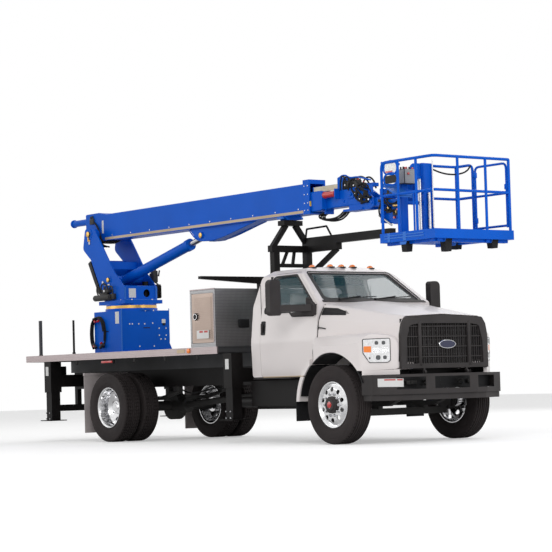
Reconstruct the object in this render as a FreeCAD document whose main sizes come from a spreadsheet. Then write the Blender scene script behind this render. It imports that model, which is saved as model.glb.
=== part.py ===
"""Cherry picker truck: a flatbed lorry with a telescopic boom, turret, outriggers and a work basket.

Lengths are millimetres. +X is the truck's front, +Y its left, +Z up. Every outline below is measured
from the point on the ground under the middle of the front axle; each sub-part's Placement then moves
it forward by front_axle_x, so that the origin is on the ground under the middle of the whole truck.
"""
import FreeCAD, Part
import math
import os
import re

import Sketcher
from FreeCAD import Placement, Rotation, Vector

SIZES = (
    # alias, millimetres or degrees, what it is
    ("front_axle_x", 3250, "front axle ahead of the origin"),
    ("wheelbase", 5250, "front axle to rear axle"),
    ("wheel_height", 512, "height of the wheels' centres"),
    ("front_wheel_y", 1030, "middle of a front wheel from the centreline"),
    ("outer_dual_y", 1094.5, "middle of an outer rear wheel"),
    ("inner_dual_y", 761.5, "middle of an inner rear wheel"),
    ("kingpin_y", 860, "steering pivot from the centreline"),
    ("kingpin_radius", 20, "kingpin"),
    ("spindle_radius", 38, "spindle that carries a wheel"),
    ("bearing_gap", 0.3, "running gap round a spindle or kingpin"),
    ("rail_top", 1060, "top of the chassis rails"),
    ("rail_bottom", 800, "underside of the chassis rails"),
    ("rail_outer", 430, "outer face of a rail from the centreline"),
    ("rail_flange", 75, "width of a rail's flanges"),
    ("rail_wall", 9, "thickness of a rail"),
    ("rail_rear", -7450, "rear end of the rails"),
    ("rail_front", 700, "front end of the rails"),
    ("deck_top", 1340, "top of the flat deck"),
    ("deck_half", 1220, "half the width of the deck"),
    ("deck_rear", -7610, "rear end of the deck"),
    ("deck_front", -2420, "front end of the deck"),
    ("deck_plate", 12, "thickness of the deck plate"),
    ("deck_edge", 100, "height of the deck's edge rails"),
    ("edge_wall", 20, "thickness of the deck's edge rails"),
    ("sill_height", 70, "height of the deck's cross sills"),
    ("stake_top", 1890, "top of the deck stakes"),
    ("toolbox_rear", -3070, "rear face of the tool box"),
    ("toolbox_front", -2470, "front face of the tool box"),
    ("toolbox_half", 1200, "half the width of the tool box"),
    ("toolbox_top", 2150, "top of the tool box"),
    ("toolbox_wall", 12, "thickness of the tool box walls"),
    ("toolbox_door", 25, "thickness of a tool box door"),
    ("gap", 6, "gap round doors and other moving panels"),
    ("cab_wall", 60, "thickness of the cab's walls and doors"),
    ("glass_thick", 6, "thickness of a pane"),
    ("glass_depth", 22, "depth of a pane behind the outer skin"),
    ("arch_radius", 675, "radius of the front wheel arches"),
    ("arch_x", -20, "middle of the front wheel arches"),
    ("hood_hinge_x", 930, "hood's tilting axis along the truck"),
    ("hood_hinge_height", 900, "hood's tilting axis height"),
    ("slew_x", -6400, "turret axis behind the front axle"),
    ("pedestal_half", 390, "half the length of the pedestal"),
    ("pedestal_side", 449, "half the width of the pedestal"),
    ("pedestal_top", 2040, "top of the pedestal"),
    ("ring_top", 2085, "top of the fixed slew ring"),
    ("turret_base", 2085.3, "underside of the turning turret"),
    ("turret_floor", 2167, "top of the turret's base plate"),
    ("turret_side", 310, "outer face of the turret's side plates"),
    ("turret_plate", 20, "thickness of the turret's side plates"),
    ("pivot_x", -7108, "boom pivot along the truck"),
    ("pivot_height", 3263, "boom pivot height"),
    ("pivot_pin", 45, "radius of the boom pivot pin"),
    ("base_pin_x", -6549, "lift cylinder's lower pin along the truck"),
    ("base_pin_height", 2503, "lift cylinder's lower pin height"),
    ("rod_pin_x", -4298, "lift cylinder's upper pin along the truck"),
    ("rod_pin_height", 3046, "lift cylinder's upper pin height"),
    ("lift_pin", 36, "radius of the lift cylinder's pins"),
    ("barrel_radius", 82, "outer radius of the lift cylinder"),
    ("rod_radius", 45, "radius of the lift cylinder's rod"),
    ("boom_bottom", 3157, "underside of the boom's base section"),
    ("boom_top", 3577, "top of the boom's base section"),
    ("boom_half", 134, "half the width of the boom's base section"),
    ("boom_wall", 9, "wall of the boom sections"),
    ("boom_front", -1630, "front end of the boom's base section"),
    ("mid_bottom", 3173, "underside of the boom's middle section"),
    ("mid_top", 3450, "top of the boom's middle section"),
    ("mid_half", 117, "half the width of the boom's middle section"),
    ("mid_front", -1400, "front end of the boom's middle section"),
    ("fly_bottom", 3189, "underside of the boom's inner section"),
    ("fly_top", 3420, "top of the boom's inner section"),
    ("fly_half", 100, "half the width of the boom's inner section"),
    ("fly_front", -560, "front end of the boom's inner section"),
    ("level_x", -350, "basket levelling pivot along the truck"),
    ("level_height", 3200, "basket levelling pivot height"),
    ("rotate_x", 340, "basket turning axis along the truck"),
    ("basket_rear", 500, "rear of the basket"),
    ("basket_front", 1560, "front of the basket"),
    ("basket_half", 680, "half the width of the basket"),
    ("toe_bottom", 2570, "underside of the basket's toe board"),
    ("toe_top", 2690, "top of the basket's toe board"),
    ("rail_height", 3610, "middle of the basket's top rail"),
    ("mid_rail", 3180, "middle of the basket's middle rail"),
    ("basket_tube", 20, "radius of the basket's tubes"),
    ("rest_x", -2255, "boom rest along the truck"),
    ("rest_post_y", 291, "boom rest posts from the centreline"),
    ("rest_tube", 100, "width of the boom rest's posts"),
    ("rest_beam_bottom", 2655, "underside of the boom rest's cross beam"),
    ("rest_beam_top", 2745, "top of the boom rest's cross beam"),
    ("saddle_height", 3100, "top of the boom rest's pad"),
    ("saddle_datum", 3100, "saddle height that the boom's and basket's other heights belong to"),
    ("arm_top", 2860, "top of the long rest arm"),
    ("arm_front", -370, "front end of the long rest arm"),
    ("leg_size", 156, "width of an outrigger leg"),
    ("leg_y", 1125, "middle of an outrigger leg from the centreline"),
    ("leg_bottom", 317, "height of a raised outrigger foot"),
    ("rear_leg_x", -6965, "rear outriggers along the truck"),
    ("front_leg_x", -2180, "front outriggers along the truck"),
)

doc = FreeCAD.newDocument("cherry_picker_truck")
sheet = doc.addObject("Spreadsheet::Sheet", "sizes")
for row, (alias, number, meaning) in enumerate(SIZES, 1):
    sheet.set(f"A{row}", meaning)
    sheet.set(f"B{row}", str(number))
    sheet.setAlias(f"B{row}", alias)
doc.recompute()
RISE = "(saddle_height - saddle_datum)"
size = {alias: float(sheet.get(alias)) for alias, number, meaning in SIZES}
kept = []


# ---------------------------------------------------------------- helpers

def bind(thing, path, formula):
    """Bind a property to the sheet; every word of the formula is one of its cells."""
    thing.setExpression(path, re.sub(r"[a-z_]+", lambda word: "sizes." + word.group(0), str(formula)))


def block(x, y, z):
    """A rectangular block between a low and a high formula along each axis."""
    made = doc.addObject("Part::Box", "block")
    for side, letter, (low, high) in (("Length", "x", x), ("Width", "y", y), ("Height", "z", z)):
        bind(made, side, f"({high}) - ({low})")
        bind(made, f"Placement.Base.{letter}", low)
    return made


TURNS = {
    "x": Rotation(Vector(0, 1, 0), 90),
    "y": Rotation(Vector(1, 0, 0), -90),
    "z": Rotation(),
}


def rod(axis, start, radius, length):
    """A cylinder along an axis from its start point; every size is a formula."""
    made = doc.addObject("Part::Cylinder", "rod")
    made.Placement = Placement(Vector(), TURNS[axis])
    bind(made, "Radius", radius)
    bind(made, "Height", length)
    for letter, formula in zip("xyz", start):
        bind(made, f"Placement.Base.{letter}", formula)
    return made


def strut(start, end, width, depth=None):
    """A bar between two points: round, or square where a depth is given."""
    run = Vector(*end) - Vector(*start)
    turn = Rotation(Vector(0, 0, 1), run)
    if depth is None:
        made = doc.addObject("Part::Cylinder", "strut")
        made.Radius = width
        made.Placement = Placement(Vector(*start), turn)
    else:
        made = doc.addObject("Part::Box", "strut")
        made.Length = width
        made.Width = depth
        made.Placement = Placement(Vector(*start) + turn.multVec(Vector(-width / 2, -depth / 2, 0)), turn)
    made.Height = run.Length
    return made


def runs_of(points):
    """Straight runs round a closed outline, with a tangent arc at each corner that gives a radius."""
    corners = []
    for index, point in enumerate(points):
        here = Vector(point[0], point[1], 0)
        if len(point) < 3:
            corners.append((here, None, here))
            continue
        after = points[(index + 1) % len(points)]
        back = (Vector(points[index - 1][0], points[index - 1][1], 0) - here).normalize()
        ahead = (Vector(after[0], after[1], 0) - here).normalize()
        half = back.getAngle(ahead) / 2
        reach = point[2] / math.tan(half)
        inward = (back + ahead).normalize()
        centre = here + inward * (point[2] / math.sin(half))
        corners.append((here + back * reach, centre - inward * point[2], here + ahead * reach))
    runs = []
    for index, (start, middle, end) in enumerate(corners):
        if middle is not None:
            runs.append(Part.Arc(start, middle, end))
        following = corners[(index + 1) % len(corners)][0]
        if following.distanceToPoint(end) > 1e-6:
            runs.append(Part.LineSegment(end, following))
    return runs


def outline(body, plane, points, offset=0):
    """A sketch of an outline on one of the body's own planes, at an offset along its normal."""
    sketch = body.newObject("Sketcher::SketchObject", "outline")
    origin = [feature for feature in body.Origin.OriginFeatures if feature.Role == plane + "_Plane"]
    sketch.AttachmentSupport = [(origin[0], "")]
    sketch.MapMode = "FlatFace"
    bind(sketch, "AttachmentOffset.Base.z", offset)
    for run in runs_of(points):
        sketch.addGeometry(run, False)
    return sketch


def prism(plane, points, low, high):
    """A padded outline between two heights along the plane's own axis (Y for XZ, X for YZ, Z for XY)."""
    body = doc.addObject("PartDesign::Body", "prism")
    start = f"-({high})" if plane == "XZ" else low
    sketch = outline(body, plane, points, start)
    pad = body.newObject("PartDesign::Pad", "pad")
    pad.Profile = sketch
    bind(pad, "Length", f"({high}) - ({low})")
    body.Tip = pad
    return body


def turned(points):
    """A profile of (along Y, radius) points turned about the Y axis."""
    body = doc.addObject("PartDesign::Body", "turned")
    sketch = outline(body, "YZ", points)
    spin = body.newObject("PartDesign::Revolution", "spin")
    spin.Profile = sketch
    spin.ReferenceAxis = (sketch, ["H_Axis"])
    spin.Angle = 360
    body.Tip = spin
    return body


def hose(points, radius):
    """A round hose along straight runs joined by tangent arcs."""
    path = [Vector(*point) for point in points]
    start = path[0]
    edges = []
    for before, corner, after in zip(path, path[1:], path[2:]):
        back = (before - corner).normalize()
        ahead = (after - corner).normalize()
        half = back.getAngle(ahead) / 2
        reach = 0.45 * min(before.distanceToPoint(corner), after.distanceToPoint(corner))
        bend = reach * math.tan(half)
        inward = (back + ahead).normalize()
        middle = corner + inward * (bend / math.sin(half) - bend)
        edges.append(Part.LineSegment(start, corner + back * reach).toShape())
        edges.append(Part.Arc(corner + back * reach, middle, corner + ahead * reach).toShape())
        start = corner + ahead * reach
    edges.append(Part.LineSegment(start, path[-1]).toShape())
    route = Part.Wire(edges)
    end_face = Part.Wire(Part.makeCircle(radius, path[0], path[1] - path[0]))
    made = doc.addObject("Part::Feature", "hose")
    made.Shape = route.makePipeShell([end_face], True, False)
    return made


def fuse(*parts):
    made = doc.addObject("Part::MultiFuse", "fuse")
    made.Shapes = list(parts)
    made.Refine = True
    return made


def group(*parts):
    made = doc.addObject("Part::Compound", "group")
    made.Links = list(parts)
    return made


def common(*parts):
    made = doc.addObject("Part::MultiCommon", "common")
    made.Shapes = list(parts)
    return made


def cut(base, *tools):
    made = doc.addObject("Part::Cut", "cut")
    made.Base = base
    made.Tool = tools[0] if len(tools) == 1 else fuse(*tools)
    return made


def moved(thing, x=None, y=None, z=None):
    """The same thing with its Placement bound to formulas."""
    for letter, formula in (("x", x), ("y", y), ("z", z)):
        if formula is not None:
            bind(thing, f"Placement.Base.{letter}", formula)
    return thing


def mirrored(thing):
    """A copy on the other side of the centreline."""
    made = doc.addObject("Part::Mirroring", "mirrored")
    made.Source = thing
    made.Base = Vector(0, 0, 0)
    made.Normal = Vector(0, 1, 0)
    return made


def keep(label, thing, rise=None):
    """Name a finished sub-part and place it in the truck's frame, raised where it rides on the pedestal."""
    if thing.TypeId in ("PartDesign::Body", "Part::Box", "Part::Cylinder"):
        thing = group(thing)
    bind(thing, "Placement.Base.x", "front_axle_x")
    if rise:
        bind(thing, "Placement.Base.z", rise)
    thing.Label = label
    kept.append(thing)
    return thing


def keep_pair(name, right):
    """Keep a right-hand sub-part and its mirror image."""
    twin = mirrored(keep(name + "_right", right))
    twin.Label = name + "_left"
    kept.append(twin)


# ---------------------------------------------------------------- wheels

TYRE_SIDE = (
    # along the axle, radius, corner radius
    (98, 286, 0),
    (98, 300, 0),
    (114, 306, 10),
    (139, 405, 260),
    (125, 512, 22),
)


def closed(side):
    """A profile made of one half and its reflection."""
    half = [point if point[2] else point[:2] for point in side]
    return half + [(-point[0],) + tuple(point[1:]) for point in reversed(half)]


FRONT_RIM = (
    # along the axle (outboard is positive), radius, corner radius where rounded
    (-110, 299), (-98, 299), (-98, 286), (98, 286), (98, 299), (110, 299), (110, 289, 5), (94, 273, 6),
    (84, 268, 6), (119, 210, 18), (119, 112), (150, 106, 4), (150, 86), (168, 78, 6), (168, 0),
    (60, 0), (60, 38.3), (-70, 38.3), (-70, 76), (98, 76), (107, 112), (107, 205, 18), (66, 260, 14),
    (-92, 272, 6), (-110, 288, 5),
)
DUAL_RIM = (
    (-110, 299), (-98, 299), (-98, 286), (98, 286), (98, 299), (110, 299), (110, 289, 5), (94, 273, 6),
    (-54, 268, 10), (-130, 206, 20), (-157, 165, 8), (-157, 100), (-165, 100), (-165, 172, 8),
    (-142, 214, 20), (-96, 262), (-110, 288),
)
DUAL_HUB = (
    (-235, 54.3), (25, 54.3), (25, 0), (165, 0), (165, 62, 8), (150, 72), (150, 98, 6), (36, 104),
    (36, 118), (-20, 118), (-20, 112), (-235, 112),
)
NUT_CIRCLE = 143
HOLE_CIRCLE = 200
NUT_COUNT = 10


def ring_of(radius, circle, start, length, height="wheel_height", turn=0.5):
    """Cylinders along the axle, evenly spaced round the wheel's own axis."""
    made = []
    for index in range(NUT_COUNT):
        angle = 2 * math.pi * (index + turn) / NUT_COUNT
        x = circle * math.cos(angle)
        z = circle * math.sin(angle)
        made.append(rod("y", (f"{x:.3f}", start, f"{z:.3f}"), radius, length))
    return made


front_rim = cut(turned(FRONT_RIM), *ring_of(30, HOLE_CIRCLE, 50, 100))
front_wheel = fuse(front_rim, *ring_of(15, NUT_CIRCLE, 118, 24, turn=0))
front_tyre = turned(closed(TYRE_SIDE))
right_turn = Rotation(Vector(0, 0, 1), 180)


def wheel_at(thing, y, x="0"):
    """A wheel part set on the right-hand side, its outboard face turned to the right."""
    holder = doc.addObject("Part::Compound", "wheel")
    holder.Links = [thing]
    holder.Placement = Placement(Vector(), right_turn)
    return moved(holder, x, f"-({y})", "wheel_height")


keep_pair("front_tyre", group(wheel_at(front_tyre, "front_wheel_y")))
keep_pair("front_wheel", group(wheel_at(front_wheel, "front_wheel_y")))

outer_rim = cut(turned(DUAL_RIM), *ring_of(30, HOLE_CIRCLE, -190, 100))
inner_rim = cut(turned([(-point[0],) + tuple(point[1:]) for point in reversed(DUAL_RIM)]),
                *ring_of(30, HOLE_CIRCLE, 90, 100))
dual_hub = turned(DUAL_HUB)
rear_wheels = fuse(
    wheel_at(outer_rim, "outer_dual_y", "-wheelbase"),
    wheel_at(inner_rim, "inner_dual_y", "-wheelbase"),
    wheel_at(dual_hub, "(outer_dual_y + inner_dual_y) / 2", "-wheelbase"),
    *[wheel_at(nut, "(outer_dual_y + inner_dual_y) / 2", "-wheelbase")
      for nut in ring_of(15, NUT_CIRCLE, 5, 29, turn=0)],
)
rear_tyres = group(
    wheel_at(turned(closed(TYRE_SIDE)), "outer_dual_y", "-wheelbase"),
    wheel_at(turned(closed(TYRE_SIDE)), "inner_dual_y", "-wheelbase"),
)
keep_pair("rear_tyres", rear_tyres)
keep_pair("rear_wheels", rear_wheels)

# ---------------------------------------------------------------- axles and steering

EYE = 38
knuckle = fuse(
    rod("z", ("0", "-kingpin_y", 400), "kingpin_radius", 215),
    block((-36, 36), ("-kingpin_y - 50", "-kingpin_y + 32"), (576, 615)),
    block((-36, 36), ("-kingpin_y - 50", "-kingpin_y + 32"), (400, 440)),
    block((-46, 46), ("-kingpin_y - 82", "-kingpin_y - 46"), (400, 615)),
    rod("y", ("0", "-kingpin_y - 92", "wheel_height"), 60, 20),
    rod("y", ("0", "-front_wheel_y - 54", "wheel_height"), "spindle_radius", 140),
    prism("XY", [(-30, -908), (-30, -850), (-185, -780, 20), (-228, -780, 14), (-228, -824, 14),
                 (-185, -832, 40)],
          400, 430),
)
keep_pair("steering_knuckle", knuckle)

SPRING_Y = ("rail_outer - rail_flange", "rail_outer")


def spring(x, seat, middle, end, half_length):
    """A leaf spring on the right: its seat on the axle, its leaves and the hangers up to the rail."""
    leaves = [
        (x - half_length, end), (x - 260, middle), (x + 260, middle), (x + half_length, end),
        (x + half_length, end + 28), (x + 260, middle + 60), (x - 260, middle + 60),
        (x - half_length, end + 28),
    ]
    inner = f"-({SPRING_Y[0]})"
    outer = f"-({SPRING_Y[1]})"
    return [
        prism("XZ", leaves, outer, inner),
        block((x - 70, x + 70), (outer, inner), (seat, middle + 10)),
        block((x - half_length - 30, x - half_length + 30), (outer, inner), (end, "rail_bottom")),
        block((x + half_length - 30, x + half_length + 30), (outer, inner), (end, "rail_bottom")),
    ]


front_springs = spring(0, 430, 470, 600, 600)
front_axle = cut(
    fuse(
        block((-42, 42), (-700, 700), (350, 440)),
        *[block((-32, 32), sides, (350, 568))
          for sides in (("kingpin_y - 170", "kingpin_y - 20"), ("20 - kingpin_y", "170 - kingpin_y"))],
        *[rod("z", ("0", f"{sign}kingpin_y", 447), EYE, 121) for sign in ("", "-")],
        *front_springs,
        *[mirrored(piece) for piece in front_springs],
    ),
    *[rod("z", ("0", f"{sign}kingpin_y", 300), "kingpin_radius + bearing_gap", 400) for sign in ("", "-")],
    *[block((-60, 60), sides, (300, 447))
      for sides in (("kingpin_y - 60", "kingpin_y + 60"), ("-60 - kingpin_y", "60 - kingpin_y"))],
)
tie_rod = fuse(
    rod("y", (-205, -820, 365), 16, 1640),
    *[rod("z", (-205, side, 360), 13, 39.7) for side in (-800, 800)],
)
keep("tie_rod", tie_rod)

REAR_X = -size["wheelbase"]
rear_springs = spring(REAR_X, 560, 600, 700, 700)
rear_axle = fuse(
    rod("y", ("-wheelbase", -660, "wheel_height"), 75, 1320),
    rod("y", ("-wheelbase", -944, "wheel_height"), 54, 1888),
    rod("y", ("-wheelbase", -75, "wheel_height"), 212, 150),
    rod("x", ("-wheelbase", 0, "wheel_height"), 105, 360),
    strut((REAR_X + 340, 0, 520), (-1208, 0, 780), 48),
    *rear_springs,
    *[mirrored(piece) for piece in rear_springs],
)
keep("axles", group(front_axle, rear_axle))

# ---------------------------------------------------------------- chassis, engine and lower parts

RAIL = [
    ("rail_outer - rail_flange", "rail_outer", "rail_bottom", "rail_bottom + rail_wall"),
    ("rail_outer - rail_flange", "rail_outer", "rail_top - rail_wall", "rail_top"),
    ("rail_outer - rail_wall", "rail_outer", "rail_bottom", "rail_top"),
]
CROSS_MEMBERS = (-7380, -5960, -4420, -3250, -1960, 620)
UNDERRIDE_X = -7480
rails = []
for low, high, bottom, top in RAIL:
    rails.append(block(("rail_rear", "rail_front"), (low, high), (bottom, top)))
    rails.append(block(("rail_rear", "rail_front"), (f"-({high})", f"-({low})"), (bottom, top)))
chassis = fuse(
    *rails,
    *[block((x, x + 80), ("rail_wall - rail_outer", "rail_outer - rail_wall"), (850, 1000))
      for x in CROSS_MEMBERS],
    block((UNDERRIDE_X, UNDERRIDE_X + 80), (-900, 900), (460, 560)),
    *[block((UNDERRIDE_X + 30, UNDERRIDE_X + 110), sides, (560, "rail_bottom + rail_wall"))
      for sides in ((355, 430), (-430, -355))],
)

engine = fuse(
    block((-300, 560), (-260, 260), (640, 1330)),
    block((-1200, -300), (-170, 170), (650, 960)),
    *[block((x, x + 60), ("rail_wall - rail_outer", "rail_outer - rail_wall"), (900, 950))
      for x in (60, -1100)],
    block((550, 640), (-300, 300), (1010, 1400)),
    block((630, 700), ("rail_flange + 5 - rail_outer", "rail_outer - rail_flange - 5"), (1000, 1490)),
)
keep("engine_block", engine)
side_box = cut(
    block((-1940, -800), (-1000, "-rail_outer"), (460, 850)),
    block((-1945, -795), (-1010, -900), (450, 500)),
)
tank = prism("YZ", [(430, 850), (1000, 850, 90), (1000, 460, 160), (600, 460, 120), (430, 780)],
             -1940, -800)
air_tank = fuse(
    rod("x", (-2460, -750, 560), 75, 440),
    block((-2300, -2200), (-740, "-rail_outer"), (622, 650)),
    block((-2300, -2200), ("-rail_outer - 30", "-rail_outer"), (622, 834)),
)
keep("side_box_and_tanks", group(side_box, tank, air_tank))

BUMPER_PLAN = (
    # half of the bumper's outer plan, from the middle round to the side
    (1050, 0), (1050, 430, 60), (1012, 640, 90), (852, 1030, 90), (760, 1095, 60), (555, 1110),
)
BUMPER_SHEET = 8


def bumper_band(setback, low, high):
    """A folded band that follows the bumper's plan at a setback."""
    outer = [(x - setback, y) + tuple(rest) for x, y, *rest in BUMPER_PLAN[1:-1]]
    outer = [(point[0], point[1]) + tuple(point[2:]) for point in outer] + [(555, 1110 - setback)]
    inner = [(x - BUMPER_SHEET, y - BUMPER_SHEET) for x, y, *rest in outer[:-1]]
    inner = inner + [(555, 1110 - setback - BUMPER_SHEET)]
    plan = outer + list(reversed(inner))
    other = [(point[0], -point[1]) + tuple(point[2:]) for point in outer]
    inner_other = [(x, -y) for x, y in inner]
    whole = [*reversed(other), *outer, *reversed(inner), *inner_other]
    return prism("XY", whole, low, high)


bumper = cut(
    fuse(
        bumper_band(0, 625, 880),
        bumper_band(26, 550, 625),
        bumper_band(4, 860, 876),
        prism("XY", [(560, 1102), (760, 1087, 60), (852, 1022, 90), (1004, 632, 90), (1040, 430),
                     (1040, -430), (1004, -632, 90), (852, -1022, 90), (760, -1087, 60), (560, -1102),
                     (560, -1040), (740, -1040), (980, -600), (980, 600), (740, 1040), (560, 1040)],
              868, 876),
        prism("XY", [(560, 1080), (740, 1060, 60), (820, 1000, 90), (980, 610, 90), (1020, 420),
                     (1020, -420), (980, -610, 90), (820, -1000, 90), (740, -1060, 60), (560, -1080),
                     (560, -1070), (730, -1050, 60), (810, -985, 90), (960, -600), (960, 600),
                     (810, 985, 90), (730, 1050, 60), (560, 1070)],
              617, 633),
    ),
    *[block((700, 1100), sides, (690, 845))
      for sides in ((-300, 300), (450, 840), (-840, -450))],
)
brackets = [block(("rail_front", 1043), sides, (850, 870)) for sides in ((355, 430), (-430, -355))]
keep("front_bumper", fuse(bumper, *brackets))
hinge_plates = [
    piece
    for low, high, pin in ((396, 416, 336), (-416, -396, -416))
    for piece in (
        block((650, "hood_hinge_x + 20"), (low, high), (874, 926)),
        rod("y", ("hood_hinge_x", pin, "hood_hinge_height"), 15, 80),
    )
]

keep("chassis_frame", fuse(chassis, *hinge_plates))

# ---------------------------------------------------------------- flat deck

sills = [block((x, x + 80), ("20 - deck_half", "deck_half - 20"),
               ("deck_top - deck_plate - sill_height", "deck_top - deck_plate"))
         for x in (-7500, -6720, -5980, -5250, -4520, -3800, -3100, -2510)]
runners = [block(("deck_rear + 60", "deck_front"), sides, ("rail_top", "deck_top - deck_plate - sill_height"))
           for sides in (("355", "430"), ("-430", "-355"))]
stakes = [block((-7245, -7205), sides, ("deck_top - 20", "stake_top"))
          for sides in ((1155, 1195), (-1195, -1155))]
deck = fuse(
    *stakes,
    block(("deck_rear + edge_wall", "deck_front"), ("edge_wall - deck_half", "deck_half - edge_wall"),
          ("deck_top - deck_plate", "deck_top")),
    *sills,
    *runners,
)
keep("deck", deck)
edges = fuse(
    *[block(("deck_rear", "deck_front"), sides, ("deck_top - deck_edge", "deck_top"))
      for sides in (("deck_half - edge_wall", "deck_half"), ("-deck_half", "edge_wall - deck_half"))],
    block(("deck_rear", "deck_rear + edge_wall"), ("-deck_half", "deck_half"),
          ("deck_top - deck_edge", "deck_top")),
)
keep("deck_edge_rails", edges)
flaps = [block((-5905, -5895), sides, (135, 1000)) for sides in ((630, 1220), (-1220, -630))]
hangers = [block((-5925, -5885), sides, (1000, 1040)) for sides in ((430, 1220), (-1220, -430))]
keep("mud_flaps", group(fuse(flaps[0], hangers[0]), fuse(flaps[1], hangers[1])))

# ---------------------------------------------------------------- tool box

DOOR_X = ("toolbox_rear + 45", "toolbox_front - 45")
DOOR_Z = ("deck_top + 60", "toolbox_top - 60")


def grow(pair, margin):
    return (f"{pair[0]} - {margin}", f"{pair[1]} + {margin}")


toolbox = cut(
    block(("toolbox_rear", "toolbox_front"), ("-toolbox_half", "toolbox_half"), ("deck_top", "toolbox_top")),
    block(("toolbox_rear + toolbox_wall", "toolbox_front - toolbox_wall"),
          ("toolbox_door + 6 - toolbox_half", "toolbox_half - toolbox_door - 6"),
          ("deck_top + toolbox_wall", "toolbox_top - toolbox_wall")),
    block(grow(DOOR_X, "gap"), ("-toolbox_half - 5", "toolbox_door + 8 - toolbox_half"), grow(DOOR_Z, "gap")),
    block(grow(DOOR_X, "gap"), ("toolbox_half - toolbox_door - 8", "toolbox_half + 5"), grow(DOOR_Z, "gap")),
)
lips = [
    block(DOOR_X, sides, heights)
    for sides in (("toolbox_door + 0.3 - toolbox_half", "toolbox_door + 15 - toolbox_half"),
                  ("toolbox_half - toolbox_door - 15", "toolbox_half - toolbox_door - 0.3"))
    for heights in (("deck_top + 50", "deck_top + 72"), ("toolbox_top - 72", "toolbox_top - 50"))
]
keep("toolbox", fuse(toolbox, *lips))
toolbox_door = fuse(
    block(DOOR_X, ("-toolbox_half", "toolbox_door - toolbox_half"), DOOR_Z),
    rod("y", ("toolbox_rear + 110", "-toolbox_half - 12", 1760), 42, 14),
    rod("z", (DOOR_X[1], "-toolbox_half", DOOR_Z[0]), 5.5, f"{DOOR_Z[1]} - ({DOOR_Z[0]})"),
)
keep_pair("toolbox_door", toolbox_door)

cross_arm = fuse(
    prism("YZ", [(-1280, 2330), (-1280, 2292), (-300, 2235), (300, 2235), (1280, 2292), (1280, 2330)],
          -2740, -2660),
    *[block((-2740, -2660), sides, ("toolbox_top", 2300)) for sides in ((-260, -200), (200, 260))],
)

# ---------------------------------------------------------------- boom rest

POST_X = ("rest_x - rest_tube / 2", "rest_x + rest_tube / 2")
HALF_TUBE = "rest_tube / 2"
posts = [block(POST_X, (f"{sign}rest_post_y - {HALF_TUBE}", f"{sign}rest_post_y + {HALF_TUBE}"),
               ("rail_top + 90", f"rest_beam_bottom + 40 + {RISE}")) for sign in ("", "-")]
saddle_legs = [strut((size["rest_x"], side * 330, 2720), (size["rest_x"], side * 85, 3036), 70, 70)
               for side in (1, -1)]
ARM_Y = ("rest_post_y - 50", "rest_post_y + 50")
KNEE_TOP = (-1575, size["rest_post_y"], 2665)
KNEE_FOOT = (-2230, size["rest_post_y"], 2310)
HOOP = 14
HOOP_PATH = ((-2285, 2850), (-2250, 2990), (-1800, 3000), (-1690, 2850))
rest_head = fuse(
    block(POST_X, (-375, 375), ("rest_beam_bottom", "rest_beam_top")),
    block(("rest_x - 40", "rest_x + 40"), (-200, 200), (2440, 2490)),
    *saddle_legs,
    block(("rest_x - 75", "rest_x + 75"), (-165, 165), (3030, "saddle_datum")),
    block((-2305, "arm_front"), ARM_Y, ("rest_beam_top", "arm_top")),
    block((-2205, -1530), ARM_Y, ("rest_beam_bottom", "rest_beam_top")),
    strut(KNEE_TOP, KNEE_FOOT, 60, 60),
    strut((size["rest_x"], -60, 2680), (size["rest_x"], -170, 2460), 35, 35),
    strut((size["rest_x"], 60, 2680), (size["rest_x"], 20, 2460), 35, 35),
    *[strut((start[0], size["rest_post_y"], start[1]), (end[0], size["rest_post_y"], end[1]), HOOP)
      for start, end in zip(HOOP_PATH, HOOP_PATH[1:])],
)
boom_rest = fuse(
    *posts,
    block(POST_X, (-430, 430), ("rail_top", "rail_top + 90")),
    moved(rest_head, z=RISE),
)
boom_rest.Refine = False
keep("boom_rest", group(boom_rest, cross_arm))

# ---------------------------------------------------------------- pedestal and slew ring

SLEW = ("slew_x", "0")
HOSE_RADIUS = 11.5
HOSE_STEP = 2 * HOSE_RADIUS + 0.6
HOSE_LOOP = (
    # round the hose hooks: along the truck, height, anticlockwise from the lower rear end
    (-6742, 1432), (-6806, 1530), (-6822, 1690), (-6790, 1842), (-6690, 1922), (-6590, 1922), (-6490, 1850),
    (-6450, 1700), (-6468, 1550), (-6520, 1440),
)
HOSE_HOOKS = ((-6700, 1868), (-6580, 1868))


def hung_hose(row):
    """One of the hoses coiled over the pedestal's hooks, each row further out and a little larger."""
    y = -size["pedestal_side"] - size["bearing_gap"] - HOSE_RADIUS - HOSE_STEP * row
    return hose([(x, y, z - 5 * row) for x, z in HOSE_LOOP[:len(HOSE_LOOP) - row]], HOSE_RADIUS)


pedestal = fuse(
    block(("slew_x - pedestal_half", "slew_x + pedestal_half"), ("-pedestal_side", "pedestal_side"),
          ("deck_top", f"pedestal_top - 40 + {RISE}")),
    rod("z", (*SLEW, f"pedestal_top - 40 + {RISE}"), 410, 40),
    block(("slew_x - pedestal_half - 60", "slew_x + pedestal_half + 60"),
          ("-pedestal_side - 60", "pedestal_side + 60"), ("deck_top", "deck_top + 16")),
)
keep("pedestal", pedestal)
keep("slew_ring", rod("z", (*SLEW, "pedestal_top"), 400, "ring_top - pedestal_top"), RISE)
hooks = [rod("y", (x, "-pedestal_side - 92", z), 8, 92) for x, z in HOSE_HOOKS]
keep("pedestal_hoses", group(*hooks, *[hung_hose(row) for row in range(3)]), RISE)

# ---------------------------------------------------------------- turret

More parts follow.
